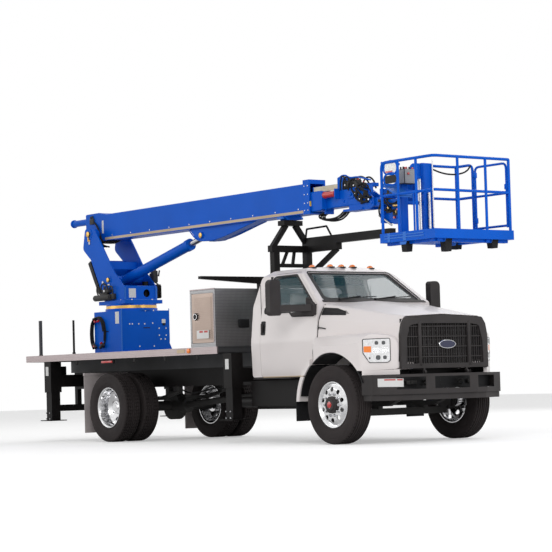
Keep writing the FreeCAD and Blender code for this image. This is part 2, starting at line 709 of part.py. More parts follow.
TURRET_PLATE = (
    # along the truck, height, corner radius
    (-6130, 2167), (-6120, 2370, 40), (-6400, 2620, 60), (-6760, 3090, 80), (-6955, 3340, 60),
    (-7225, 3360, 60), (-7300, 3030, 80), (-7070, 2850, 60), (-6710, 2200, 40), (-6690, 2167),
)
side_plate = prism("XZ", TURRET_PLATE, "turret_side - turret_plate", "turret_side")
inner_side = "turret_side - turret_plate"
BETWEEN = (f"-({inner_side})", inner_side)
rear_web = prism("XZ", [(-6702, 2190), (-7060, 2838), (-7047, 2845), (-6688, 2197)], *BETWEEN)
front_web = cut(
    prism("XZ", [(-6150, 2167), (-6135, 2167), (-6135, 2385), (-6150, 2395)], *BETWEEN),
    rod("x", (-6200, 120, 2275), 62, 100),
)
turret = cut(
    fuse(
        rod("z", (*SLEW, "turret_base"), 395, 36),
        block((-6790, -6050), (-355, 355), ("turret_base + 25", "turret_floor")),
        side_plate,
        mirrored(side_plate),
        rear_web,
        front_web,
        *[rod("y", ("pivot_x", low, "pivot_height"), 88, 14) for low in (303, -317)],
        *[rod("y", ("base_pin_x", low, "base_pin_height"), 66, 14) for low in (303, -317)],
        *[rod("y", ("base_pin_x", low, "base_pin_height"), 66, 200) for low in (95, -295)],
    ),
    rod("y", ("pivot_x", -400, "pivot_height"), "pivot_pin", 800),
    rod("y", ("base_pin_x", -400, "base_pin_height"), "lift_pin", 800),
)
keep("turret", turret, RISE)
pins = group(
    rod("y", ("pivot_x", -330, "pivot_height"), "pivot_pin", 660),
    rod("y", ("base_pin_x", -330, "base_pin_height"), "lift_pin", 660),
)
keep("turret_pins", pins, RISE)
slew_motor = fuse(
    rod("z", (-6300, 205, "turret_floor"), 70, 200),
    rod("z", (-6300, 205, "turret_floor + 190"), 48, 110),
)
valve_box = block((-6440, -6180), ("turret_side", "turret_side + 120"), (2210, 2400))
keep("slew_drive", group(slew_motor, valve_box), RISE)

# ---------------------------------------------------------------- boom


def tube(low_z, high_z, half, wall, corner, rear, front):
    """A hollow rectangular boom section with rounded corners, open at both ends."""
    outer = [(half, low_z, corner), (half, high_z, corner), (-half, high_z, corner), (-half, low_z, corner)]
    inside = corner - wall / 2
    inner = [(half - wall, low_z + wall, inside), (half - wall, high_z - wall, inside),
             (wall - half, high_z - wall, inside), (wall - half, low_z + wall, inside)]
    return cut(prism("YZ", outer, rear, front), prism("YZ", inner, f"{rear} - 10", f"{front} + 10"))


wall = size["boom_wall"]
LUG = ((-4615, 3160), (-4440, 3000, 40), (-4340, 2958, 30), (-4120, 2946, 60), (-3960, 2946, 60),
       (-2888, 3160))
lug_plate = prism("XZ", LUG, 76, 96)
boom_base = cut(
    fuse(
        tube(size["boom_bottom"], size["boom_top"], size["boom_half"], wall, 22, "-7030", "boom_front"),
        cut(
            prism("XZ", [(-7470, 3300, 60), (-7470, 3610, 30), (-7080, 3612, 60), (-6900, 3577), (-6900, 3157),
                         (-7300, 3157, 60)], "-boom_half", "boom_half"),
            block((-7480, -6890), ("boom_wall - boom_half", "boom_half - boom_wall"), (3168, 3566)),
        ),
        rod("y", ("pivot_x", -280, "pivot_height"), 86, 560),
        rod("x", (-8060, 0, 3510), 52, 620),
        block((-7472, -7440), ("-boom_half", "boom_half"), (3380, 3600)),
        cut(
            block(("boom_front - 130", "boom_front + 10"), (-147, 147), (3145, 3627)),
            block(("boom_front - 140", "boom_front + 20"), (-125, 125), (3166, 3568)),
        ),
        lug_plate,
        mirrored(lug_plate),
        *[rod("y", ("rod_pin_x", low, "rod_pin_height"), 52, 24) for low in (90, -114)],
        prism("XZ", [(-4110, 2955), (-3960, 2952), (-2900, 3160), (-4110, 3160)], -76, 76),
        prism("YZ", [(-160, 3158), (-110, 3108), (110, 3108), (160, 3158)], -2335, -2175),
        block(("boom_front - 140", "boom_front - 20"), (-80, 80), ("boom_bottom + 5", "mid_bottom - 0.3")),
    ),
    rod("y", ("pivot_x", -290, "pivot_height"), "pivot_pin + bearing_gap", 580),
)
keep("boom_base", boom_base, RISE)

mid = tube(size["mid_bottom"], size["mid_top"], size["mid_half"], wall - 1, 20, "-6830", "mid_front")
mid_pad = block(("mid_front - 140", "mid_front - 20"), (-70, 70), ("mid_bottom + 4", "fly_bottom - 0.3"))
keep("boom_middle", fuse(mid, mid_pad), RISE)

TIP = ((-820, 3118), (-820, 3420), (-600, 3440, 30), (-310, 3262, 40), (-288, 3150, 40), (-390, 3112, 20),
       (-520, 3112))
boom_tip = cut(
    prism("XZ", TIP, "5 - fly_half", "fly_half - 5"),
    block((-462, -270), (-72, 72), (3000, 3500)),
    rod("y", ("level_x", -200, "level_height"), 25, 400),
)
fly = fuse(
    tube(size["fly_bottom"], size["fly_top"], size["fly_half"], wall - 1, 18, "-6640", "fly_front"),
    boom_tip,
    block((-930, -520), (-112, 112), (3118, 3146)),
    block((-1050, -930), ("-fly_half", "fly_half"), ("fly_top - 5", 3592)),
    block((-1386, -1350), (-70, 70), (3124, "fly_bottom + 4")),
    block((-1610, -1045), (-88, 88), (3458, 3512)),
    rod("y", ("level_x", -104, "level_height"), 25, 208),
)
keep("boom_fly", fly, RISE)
HEAD_LOOP = (
    # a hose from the clamp back, down and forward to the plate under the boom's head: along, height
    (-1386, 3142), (-1466, 3142), (-1536, 3112), (-1516, 3078), (-1420, 3056), (-1290, 3046), (-1150, 3056),
    (-1050, 3092), (-990, 3131), (-930, 3131),
)


def head_hose(index):
    """One of the hoses that hang below the boom's head, side by side and each slung a little deeper."""
    y = (index - 1.5) * 34
    depth = (0, 16, 4, 22)[index]
    slack = [(x, z - depth * (3130 - z) / 84 if z < 3130 else z) for x, z in HEAD_LOOP]
    return hose([(x, y, z) for x, z in slack], HOSE_RADIUS)


keep("boom_hoses", group(*[head_hose(index) for index in range(4)]), RISE)

# ---------------------------------------------------------------- lift cylinder

BASE_PIN = Vector(size["base_pin_x"], 0, size["base_pin_height"])
ROD_PIN = Vector(size["rod_pin_x"], 0, size["rod_pin_height"])
along = (ROD_PIN - BASE_PIN).normalize()


def on_lift(distance):
    """A point on the lift cylinder's axis, from its lower pin."""
    point = BASE_PIN + along * distance
    return (point.x, point.y, point.z)


REACH = (ROD_PIN - BASE_PIN).Length
barrel = cut(
    fuse(
        strut(on_lift(60), on_lift(1850), size["barrel_radius"]),
        strut(on_lift(1790), on_lift(1880), size["barrel_radius"] + 9),
        rod("y", ("base_pin_x", -85, "base_pin_height"), 74, 170),
    ),
    strut(on_lift(140), on_lift(1800), size["rod_radius"] + 3),
    strut(on_lift(1790), on_lift(1900), size["rod_radius"] + size["bearing_gap"]),
    rod("y", ("base_pin_x", -100, "base_pin_height"), "lift_pin + bearing_gap", 200),
)
keep("lift_barrel", barrel, RISE)
lift_rod = fuse(
    strut(on_lift(150), on_lift(REACH - 30), size["rod_radius"]),
    rod("y", ("rod_pin_x", -62, "rod_pin_height"), 64, 124),
)
keep("lift_rod", lift_rod, RISE)

# ---------------------------------------------------------------- basket and its mount

mount = cut(
    fuse(
        rod("y", ("level_x", -66, "level_height"), 60, 132),
        block(("level_x", -120), (-66, 66), (3145, 3255)),
        block((-150, -120), (-110, 110), (2900, 3360)),
        block((-130, "rotate_x"), (-80, 80), (3142, 3205)),
        prism("XZ", [(-130, 2960), (-130, 3145), (205, 3145), (205, 3080, 20), (120, 2880, 30), (50, 2872, 30)],
              -45, 45),
        rod("z", ("rotate_x", 0, 3142), 86, 278),
    ),
    rod("y", ("level_x", -100, "level_height"), "25 + bearing_gap", 200),
)
keep("basket_mount", mount, RISE)

MAST_X = ("basket_rear + 13", "basket_rear + 67")
COLUMN = (20, 190)
SHORT_POST = (-350, -240)
mast = fuse(
    block(MAST_X, COLUMN, ("toe_bottom + 30", 3640)),
    block(MAST_X, SHORT_POST, ("toe_bottom + 30", 3440)),
    *[block(("basket_rear + 16", "basket_rear + 56"), (SHORT_POST[1] - 5, COLUMN[0] + 5), heights)
      for heights in ((3090, 3132), (3240, 3282))],
    block(("basket_rear + 16", "basket_rear + 56"), (-100, COLUMN[0] + 5), (3420.3, 3470)),
    block(("rotate_x - 60", "basket_rear + 30"), (-95, 95), (3112, 3141.7)),
    block(("rotate_x - 60", "basket_rear + 30"), (-95, 95), (3420.3, 3446)),
)
basket_floor = cut(
    block(("basket_rear", "basket_front"), ("-basket_half", "basket_half"), ("toe_bottom", "toe_top")),
    block(("basket_rear + 10", "basket_front - 10"), ("10 - basket_half", "basket_half - 10"),
          ("toe_bottom + 30", "toe_top + 10")),
)
keep("basket_floor", basket_floor, RISE)

rear_x = size["basket_rear"] + 30
front_x = size["basket_front"] - 30
side_y = size["basket_half"] - 30
GATE_REAR = 850
low_z = size["toe_bottom"] + 30
top_z = size["rail_height"]
POSTS = (
    # along the truck, across it
    (rear_x, side_y), (rear_x, -side_y), (front_x, side_y), (front_x, -side_y),
    (GATE_REAR, side_y), (GATE_REAR, -side_y), (front_x, 240), (front_x, -240), (1200, -side_y),
)
post_radius = size["basket_tube"]
side_radius = post_radius - 1
cross_radius = post_radius - 2
CORNER = 14
basket_tubes = [strut((x, y, low_z), (x, y, top_z), post_radius) for x, y in POSTS]
for level in (size["mid_rail"], size["rail_height"]):
    basket_tubes += [
        strut((rear_x - CORNER, -side_y, level), (front_x + CORNER, -side_y, level), side_radius),
        strut((rear_x - CORNER, side_y, level), (GATE_REAR, side_y, level), side_radius),
        strut((front_x, -side_y, level), (front_x, side_y + CORNER, level), cross_radius),
        strut((rear_x, -side_y, level), (rear_x, COLUMN[0] + 5, level), cross_radius),
        strut((rear_x, COLUMN[1] - 5, level), (rear_x, side_y, level), cross_radius),
    ]
basket_rails = fuse(mast, *basket_tubes)
basket_rails.Refine = False
keep("basket_rails", basket_rails, RISE)

gate_rear = GATE_REAR + 48
gate_front = front_x - 46
gate_tubes = [strut((x, side_y, 2730), (x, side_y, 3600), 16) for x in (gate_rear, gate_front)]
gate_tubes += [strut((gate_rear, side_y, z), (gate_front, side_y, z), 16) for z in (2760, 3180, 3570)]
gate_tubes += [rod("z", (gate_rear, side_y, z), 27.7, 70) for z in (2830, 3430)]
keep("basket_gate", fuse(*gate_tubes), RISE)
keep("control_box", block((f"{MAST_X[1]}", 690), (-400, -190), (3343, 3533)), RISE)
FEET = (
    # a rubber foot under the basket: along the truck, across it, height of its sole
    (930, -600, 2436), (1450, -400, 2408), (1450, 400, 2462), (930, 250, 2480),
)
BLOCK_TOP = size["toe_bottom"]
feet = [
    prism("YZ", [(y - 62, BLOCK_TOP), (y - 44, sole, 8), (y + 44, sole, 8), (y + 62, BLOCK_TOP)], x - 48, x + 48)
    for x, y, sole in FEET
]
keep("basket_feet", group(*feet), RISE)

# ---------------------------------------------------------------- outriggers

LEG_HALF = "(leg_size / 2)"
SLEEVE = "(leg_size / 2 + 18)"


def leg(x):
    """A straight-down outrigger leg with its foot, on the right."""
    return fuse(
        block((f"{x} - {LEG_HALF}", f"{x} + {LEG_HALF}"), (f"-leg_y - {LEG_HALF}", f"{LEG_HALF} - leg_y"),
              ("leg_bottom", 1180)),
        block((f"{x} - 150", f"{x} + 150"), ("-leg_y - 150", "150 - leg_y"), ("leg_bottom", "leg_bottom + 14")),
    )


def sleeve(x):
    """The square sleeve that holds a leg, its wear pads, and the beam that carries it from the rail."""
    pads = [block((f"{x} - 40", f"{x} + 40"), sides, (1000, 1100))
            for sides in ((f"-leg_y - {LEG_HALF} - 8", f"-leg_y - {LEG_HALF} - 0.3"),
                          (f"{LEG_HALF} + 0.3 - leg_y", f"{LEG_HALF} + 8 - leg_y"))]
    return fuse(*pads, cut(
        fuse(
            block((f"{x} - {SLEEVE}", f"{x} + {SLEEVE}"), (f"-leg_y - {SLEEVE}", f"{SLEEVE} - leg_y"),
                  (760, "deck_top - deck_edge")),
            block((f"{x} - 90", f"{x} + 90"), ("-leg_y", "-rail_outer"), (840, 1030)),
        ),
        block((f"{x} - {LEG_HALF} - 6", f"{x} + {LEG_HALF} + 6"),
              (f"-leg_y - {LEG_HALF} - 6", f"{LEG_HALF} + 6 - leg_y"), (700, 1215)),
    ))


sleeves = []
for place, x in (("rear", "rear_leg_x"), ("front", "front_leg_x")):
    keep_pair(f"{place}_outrigger_leg", leg(x))
    sleeves += [sleeve(x), mirrored(sleeve(x))]
keep("outrigger_sleeves", group(*sleeves))

# ---------------------------------------------------------------- cab

CAB_SIDE = (
    # the cab's outline from the right: along the truck, height, corner radius
    (-1895, 895, 40), (-1880, 2260, 110), (-1790, 2362, 90), (-1130, 2372, 90), (-1035, 2322, 60),
    (-446, 1868, 20), (-446, 895),
)
CAB_SECTION = (
    # the right half of the cab's outline from the front: across, height, corner radius
    (-1000, 890), (-1020, 1360, 300), (-970, 1860, 200), (-800, 2265, 90), (-640, 2352, 200), (0, 2390),
)


def shrunk(points, inset):
    """An outline moved inward by a distance on every side."""
    count = len(points)
    lines = []
    for index in range(count):
        start = Vector(points[index][0], points[index][1], 0)
        after = points[(index + 1) % count]
        run = (Vector(after[0], after[1], 0) - start).normalize()
        lines.append((start, run))
    area = sum(points[i][0] * points[(i + 1) % count][1] - points[(i + 1) % count][0] * points[i][1]
               for i in range(count))
    sign = 1 if area > 0 else -1
    made = []
    for index in range(count):
        (a, u), (b, v) = lines[index - 1], lines[index]
        a = a + Vector(-u.y, u.x, 0) * inset * sign
        b = b + Vector(-v.y, v.x, 0) * inset * sign
        cross = u.x * v.y - u.y * v.x
        if abs(cross) < 1e-9:
            corner = b
        else:
            step = ((b.x - a.x) * v.y - (b.y - a.y) * v.x) / cross
            corner = a + u * step
        made.append((corner.x, corner.y) + tuple(points[index][2:]))
    return made


def both_sides(half):
    """A whole cross-section from its right half."""
    return list(half) + [(-point[0],) + tuple(point[1:]) for point in reversed(half[:-1])]


def cab_solid(inset):
    """The cab's outer form, moved inward by an inset."""
    side = shrunk(CAB_SIDE, inset)
    section = shrunk(both_sides(CAB_SECTION), inset)
    return common(prism("XZ", side, -1200, 1200), prism("YZ", section, -2000, -300))


DOORWAY = (
    # the door's outline from the right: along the truck, height, corner radius
    (-1690, 900, 40), (-1690, 2170, 90), (-1610, 2288, 60), (-1085, 2296, 60), (-480, 1838, 60),
    (-452, 1760, 60), (-455, 1000), (-560, 900),
)
DOOR_WINDOW = (
    (-1600, 1772, 40), (-1600, 2240, 80), (-1105, 2246, 80), (-575, 1850, 40), (-556, 1700, 30),
    (-990, 1712, 40), (-1060, 1772, 40),
)
arch_cut = rod("y", ("arch_x", -1400, "wheel_height"), "arch_radius", 2800)
cab_outer = cab_solid(0)
cab_inner = common(
    cab_solid(size["cab_wall"]),
    block((-2000, 0), (-1200, 1200), (1120, 2400)),
)
doorway_gap = size["gap"]
DEEP_SECTION = ((-1000, 400),) + CAB_SECTION[1:]
door_core = prism("YZ", shrunk(both_sides(DEEP_SECTION), size["cab_wall"]), -2100, 0)
doorway_core = prism("YZ", shrunk(both_sides(DEEP_SECTION), size["cab_wall"] + doorway_gap), -2100, 0)
doorway = cut(prism("XZ", shrunk(DOORWAY, -doorway_gap), -1200, 1200), doorway_core,
              block((-2100, 0), (-690, 690), (0, 3000)))


def slanted(points, base, ahead, low, high):
    """An outline on a slanted pane: its own x is across the truck and its own y runs up the slope."""
    body = doc.addObject("PartDesign::Body", "slanted")
    sketch = outline(body, "XY", points, low)
    pad = body.newObject("PartDesign::Pad", "pad")
    pad.Profile = sketch
    pad.Length = high - low
    body.Tip = pad
    up = (Vector(*ahead) - Vector(*base)).normalize()
    across = Vector(0, 1, 0)
    normal = across.cross(up)
    body.Placement = Placement(Vector(*base), Rotation(across, up, normal, "ZXY"))
    return body


REAR_WINDOW = ((-600, 1650, 60), (-600, 2120, 60), (600, 2120, 60), (600, 1650, 60))
SCREEN_BASE = (-446, 0, 1868)
SCREEN_TOP = (-1035, 0, 2322)
screen_rise = (Vector(*SCREEN_TOP) - Vector(*SCREEN_BASE)).Length
SCREEN = ((-850, 40, 50), (-712, screen_rise - 45, 60), (712, screen_rise - 45, 60), (850, 40, 50))
depth = size["glass_depth"]
thick = size["glass_thick"]
cab_shell = cut(
    cab_outer,
    cab_inner,
    doorway,
    block((-2000, 0), (-470, 470), (800, 1066)),
    block((-1850, -490), (-920, 920), (800, 1066)),
    arch_cut,
    slanted(SCREEN, SCREEN_BASE, SCREEN_TOP, -150, 60),
    prism("YZ", REAR_WINDOW, -2000, -1750),
)
cab_mounts = [block((x, x + 120), sides, ("rail_top", 1068))
              for x in (-1760, -820) for sides in ((355, 430), (-430, -355))]
windscreen = slanted(SCREEN, SCREEN_BASE, SCREEN_TOP, -depth - thick, -depth)
rear_pane = prism("YZ", REAR_WINDOW, -1866, -1860)
keep("cab_glass", group(windscreen, rear_pane))

door_region = prism("XZ", DOORWAY, -1200, -700)
window_region = prism("XZ", DOOR_WINDOW, -1200, -600)
pane_region = prism("XZ", DOOR_WINDOW, -1200, -600)
flare_ring = cut(
    rod("y", ("arch_x", -1146, "wheel_height"), "arch_radius + 62", 176),
    rod("y", ("arch_x", -1200, "wheel_height"), "arch_radius", 300),
)
MIRROR_TOP = 2176
MIRROR_BOTTOM = 1698
mirror = fuse(
    prism("YZ", [(-1500, MIRROR_BOTTOM, 60), (-1322, MIRROR_BOTTOM, 30), (-1322, MIRROR_TOP, 50),
                 (-1500, MIRROR_TOP, 70)], -905, -805),
    prism("XY", [(-905, -1340), (-805, -1340), (-470, -960), (-470, -880), (-660, -880), (-760, -1000, 90),
                 (-850, -1250, 60)], 1748, 1838),
    prism("XZ", [(-962, 1702, 12), (-478, 1692, 12), (-484, 1815, 12), (-545, 1866, 12), (-640, 1838, 60),
                 (-700, 1762, 40), (-962, 1740, 12)], -1030, -960),
)
door_edge = common(
    prism("YZ", shrunk(both_sides(DEEP_SECTION), 20), -2100, 0),
    block((-1700, -1670), (-1200, 1200), (850, 2400)),
)
seals = common(
    cut(
        prism("YZ", shrunk(both_sides(DEEP_SECTION), size["cab_wall"] + 0.3), -1500, -800),
        prism("YZ", shrunk(both_sides(DEEP_SECTION), size["cab_wall"] + 12), -1600, -700),
    ),
    block((-1600, -700), (-1200, 1200), (1070, 1112)),
)
door = cut(
    fuse(
        cut(common(cab_solid(0), door_region), door_core),
        common(flare_ring, block((-800, -455), (-1200, -960), (900, 1400))),
    ),
    window_region,
    arch_cut,
    door_edge,
)
keep_pair("door", door)
keep_pair("mirror", cut(mirror, cab_solid(0)))
keep("cab_shell", fuse(cab_shell, seals, *cab_mounts))
door_pane = cut(common(cab_solid(depth), pane_region), cab_solid(depth + thick))
keep_pair("door_glass", door_pane)
extension = common(
    cut(
        rod("y", ("arch_x", -1146, "wheel_height"), "arch_radius + 62", 146),
        rod("y", ("arch_x", -1200, "wheel_height"), "arch_radius", 300),
    ),
    block((-800, -455), (-1200, -960), (560, 886)),
)
extension = fuse(extension, block((-800, -715), (-1010, -960), (600, 800)))
keep("fender_extensions", group(extension, mirrored(extension)))

seat_parts = []
for side in (430, -430):
    seat_parts += [
        block((-1400, -900), (side - 250, side + 250), (1120, 1180)),
        prism("XZ", [(-1420, 1180), (-1420, 1420, 60), (-880, 1450, 60), (-880, 1180)], side - 260, side + 260),
        prism("XZ", [(-1400, 1400), (-1560, 2000, 40), (-1690, 1990, 40), (-1560, 1400, 60)],
              side - 250, side + 250),
    ]
keep("cab_seats", group(*[fuse(*seat_parts[:3]), fuse(*seat_parts[3:])]))
dashboard = prism("XZ", [(-506, 1300), (-506, 1800), (-560, 1815, 20), (-720, 1760, 60), (-740, 1560, 60),
                         (-620, 1300)], -900, 900)
wheel_centre = Vector(-830, 430, 1710)
column = Vector(-690, 430, 1635)
rim = doc.addObject("Part::Torus", "rim")
rim.Radius1 = 215
rim.Radius2 = 15
rim.Placement = Placement(wheel_centre, Rotation(Vector(0, 0, 1), wheel_centre - column))
steering_wheel = fuse(
    dashboard,
    rim,
    strut(tuple(wheel_centre), tuple(column), 26),
    *[strut(tuple(wheel_centre), tuple(wheel_centre + Vector(*offset)), 13)
      for offset in ((0, 215, 0), (0, -215, 0))],
)
keep("dashboard", steering_wheel)

# ---------------------------------------------------------------- hood

HOOD_REAR = (
    # the hood's section at the cab, right half: across, height, corner radius
    (-1004, 1050), (-1018, 1380, 100), (-985, 1620, 100), (-880, 1835, 70), (0, 1880),
)
HOOD_FRONT = (
    # the hood's section at the grille
    (-762, 1050), (-735, 1380, 100), (-705, 1520, 60), (-640, 1622, 50), (0, 1650),
)
HOOD_ENDS = (-437, 886)


def hood_solid(inset, grown=0):
    """The hood between its two sections, as a ruled loft."""
    wires = []
    for station, half in ((HOOD_ENDS[0] - grown, HOOD_REAR), (HOOD_ENDS[1] + grown, HOOD_FRONT)):
        section = shrunk(both_sides(half), inset) if inset else both_sides(half)
        section[0] = (section[0][0], section[0][1] - 2 * inset)
        section[-1] = (section[-1][0], section[-1][1] - 2 * inset)
        edges = [run.toShape() for run in runs_of(section)]
        wire = Part.Wire(Part.__sortEdges__(edges))
        wire.transformShape(FreeCAD.Matrix(0, 0, 1, station, 1, 0, 0, 0, 0, 1, 0, 0, 0, 0, 0, 1))
        wires.append(wire)
    made = doc.addObject("Part::Feature", "hood_loft")
    made.Shape = Part.makeLoft(wires, True, True)
    return made


FENDER_SIDE = (
    # the fender from the right: along the truck, height, corner radius
    (-438, 1000), (-438, 1405, 20), (560, 1420, 90), (820, 1372, 90), (880, 1290, 60), (880, 950, 30),
    (560, 936),
)
FENDER_PLAN = (
    # the fender from above: along the truck, across, corner radius
    (-438, -500), (-438, -1120, 60), (-200, -1150, 300), (300, -1150, 300), (560, -1128, 120),
    (880, -772, 60), (880, -500),
)
FENDER_SECTION = (
    # the fender's top from the front: across, height, corner radius
    (-500, 900), (-1160, 900), (-1160, 1262, 60), (-1060, 1385, 90), (-860, 1440, 100), (-500, 1440),
)


def fender_solid(inset):
    side = shrunk(FENDER_SIDE, inset)
    plan = shrunk(FENDER_PLAN, inset)
    section = shrunk(FENDER_SECTION, inset)
    if inset:
        side = [(x, z - 40 if z < 1050 else z, *rest) for x, z, *rest in side]
        section = [(y, z - 40 if z < 1000 else z, *rest) for y, z, *rest in section]
        plan = [(x, y + 40 if y > -560 else y, *rest) for x, y, *rest in plan]
    return common(prism("XZ", side, -1300, -300), prism("XY", plan, 500, 2000),
                  prism("YZ", section, -900, 1300))


skin = 9
headlamp_box = prism("XY", [(500, -1200), (900, -1200), (905, -790), (870, -756), (760, -720), (560, -1000)],
                     1026, 1352)
fender_outer = fender_solid(0)
fender_inner = fender_solid(skin)
headlamp = common(fender_solid(0), headlamp_box)
hood = cut(
    fuse(hood_solid(0), fender_outer, mirrored(fender_solid(0))),
    hood_solid(skin, 30),
    fender_inner,
    mirrored(fender_solid(skin)),
    rod("y", ("arch_x", -1400, "wheel_height"), "arch_radius", 900),
    rod("y", ("arch_x", 500, "wheel_height"), "arch_radius", 900),
    headlamp_box,
    mirrored(headlamp_box),
    block((880, 1200), (-1200, 1200), (900, 2000)),
)
keep("hood", hood)
keep("headlamps", group(headlamp, mirrored(headlamp)))

GRILLE_OUTER = ((-748, 950), (-745, 1380, 100), (-715, 1520, 60), (-655, 1608, 45), (0, 1636))
surround = cut(
    prism("YZ", both_sides(GRILLE_OUTER), 880, 930),
    *[prism("YZ", opening, 800, 1000) for opening in (
        [(-400, 1010, 20), (-400, 1525, 20), (400, 1525, 20), (400, 1010, 20)],
        [(450, 1010, 20), (440, 1525, 20), (600, 1500, 50), (655, 1300, 50), (665, 1010, 20)],
        [(-450, 1010, 20), (-440, 1525, 20), (-600, 1500, 50), (-655, 1300, 50), (-665, 1010, 20)],
    )],
)
bars = [block((890, 910), (y, y + 8), (1005, 1530)) for y in range(-640, 641, 40)]
grille_rows = [block((886, 914), (-672, 672), (z, z + 12)) for z in (1090, 1220, 1350, 1480)]
lugs = [
    cut(
        fuse(
            rod("y", ("hood_hinge_x", low, "hood_hinge_height"), 26, 34),
            block((904, 929), (low, low + 34), ("hood_hinge_height", 985)),
        ),
        rod("y", ("hood_hinge_x", low - 10, "hood_hinge_height"), "15 + bearing_gap", 60),
    )
    for low in (350, -384)
]
grille = fuse(
    surround,
    common(fuse(*bars, *grille_rows), prism("YZ", both_sides(GRILLE_OUTER), 880, 930)),
    *lugs,
)
keep("grille", grille)


# ---------------------------------------------------------------- checks and files

doc.recompute()
bad = [f"{thing.Name}: {thing.State}" for thing in doc.Objects
       if "Invalid" in thing.State or "Error" in thing.State]
for thing in kept:
    if thing.Shape.isNull() or not thing.Shape.isValid() or thing.Shape.Volume <= 0:
        bad.append(f"{thing.Label}: shape")
if bad:
    raise SystemExit("\n".join(bad))
os.makedirs("parts", exist_ok=True)
for thing in kept:
    thing.Shape.exportStep(f"parts/{thing.Label}.step")
    box = thing.Shape.optimalBoundingBox()
    print(f"{thing.Label:26s} solids {len(thing.Shape.Solids)} volume {thing.Shape.Volume / 1e9:.4f}"
          f" x {box.XMin:.0f}..{box.XMax:.0f} y {box.YMin:.0f}..{box.YMax:.0f} z {box.ZMin:.0f}..{box.ZMax:.0f}")
print(len(kept), "sub-parts")
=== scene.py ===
import math

import bpy
from mathutils import Matrix, Vector
from mathutils.bvhtree import BVHTree


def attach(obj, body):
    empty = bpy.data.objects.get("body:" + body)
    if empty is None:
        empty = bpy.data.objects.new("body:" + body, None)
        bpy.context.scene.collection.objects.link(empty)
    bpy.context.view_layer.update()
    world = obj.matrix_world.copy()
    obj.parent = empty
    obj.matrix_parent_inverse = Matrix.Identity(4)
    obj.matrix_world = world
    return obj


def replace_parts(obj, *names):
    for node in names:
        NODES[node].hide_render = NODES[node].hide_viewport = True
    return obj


bl_info = {
    "name": "Cherry Picker Truck Finish",
    "version": (1, 0, 0),
    "blender": (4, 5, 0),
    "location": "View3D > Sidebar > Truck",
    "description": "Paints the truck's solids and adds its fittings, lamps, tread, seats and studio",
    "category": "Object",
}

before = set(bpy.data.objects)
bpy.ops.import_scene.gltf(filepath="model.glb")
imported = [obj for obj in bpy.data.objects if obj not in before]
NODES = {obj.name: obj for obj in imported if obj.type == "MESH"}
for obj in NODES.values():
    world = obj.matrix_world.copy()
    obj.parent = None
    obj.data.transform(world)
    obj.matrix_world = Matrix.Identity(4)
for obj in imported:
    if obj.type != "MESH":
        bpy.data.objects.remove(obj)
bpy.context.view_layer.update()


# ---------------------------------------------------------------- settings

class TruckSettings(bpy.types.PropertyGroup):
    """Colours and sizes that a user would change."""
    blue: bpy.props.FloatVectorProperty(
        name="Boom blue", description="Paint of the boom, turret and basket",
        subtype="COLOR", size=4, min=0, max=1, default=(0.001, 0.105, 0.60, 1))
    white: bpy.props.FloatVectorProperty(
        name="Cab white", description="Paint of the cab, doors and hood",
        subtype="COLOR", size=4, min=0, max=1, default=(0.77, 0.72, 0.71, 1))
    chassis_black: bpy.props.FloatVectorProperty(
        name="Chassis black", description="Paint of the frame, boom rest and outriggers",
        subtype="COLOR", size=4, min=0, max=1, default=(0.007, 0.006, 0.006, 1))
    trim_grey: bpy.props.FloatVectorProperty(
        name="Trim grey", description="Moulded plastic of the bumper, grille and mirrors",
        subtype="COLOR", size=4, min=0, max=1, default=(0.034, 0.030, 0.030, 1))
    amber: bpy.props.FloatVectorProperty(
        name="Amber", description="Marker lamps and turn signals",
        subtype="COLOR", size=4, min=0, max=1, default=(0.90, 0.22, 0.02, 1))
    tread_depth: bpy.props.FloatProperty(
        name="Tread depth", description="Depth of the grooves in every tyre",
        unit="LENGTH", min=0.002, max=0.02, default=0.011)


def setting(name):
    """One of the truck's settings."""
    return getattr(bpy.context.scene.truck_settings, name)


# ---------------------------------------------------------------- finishes

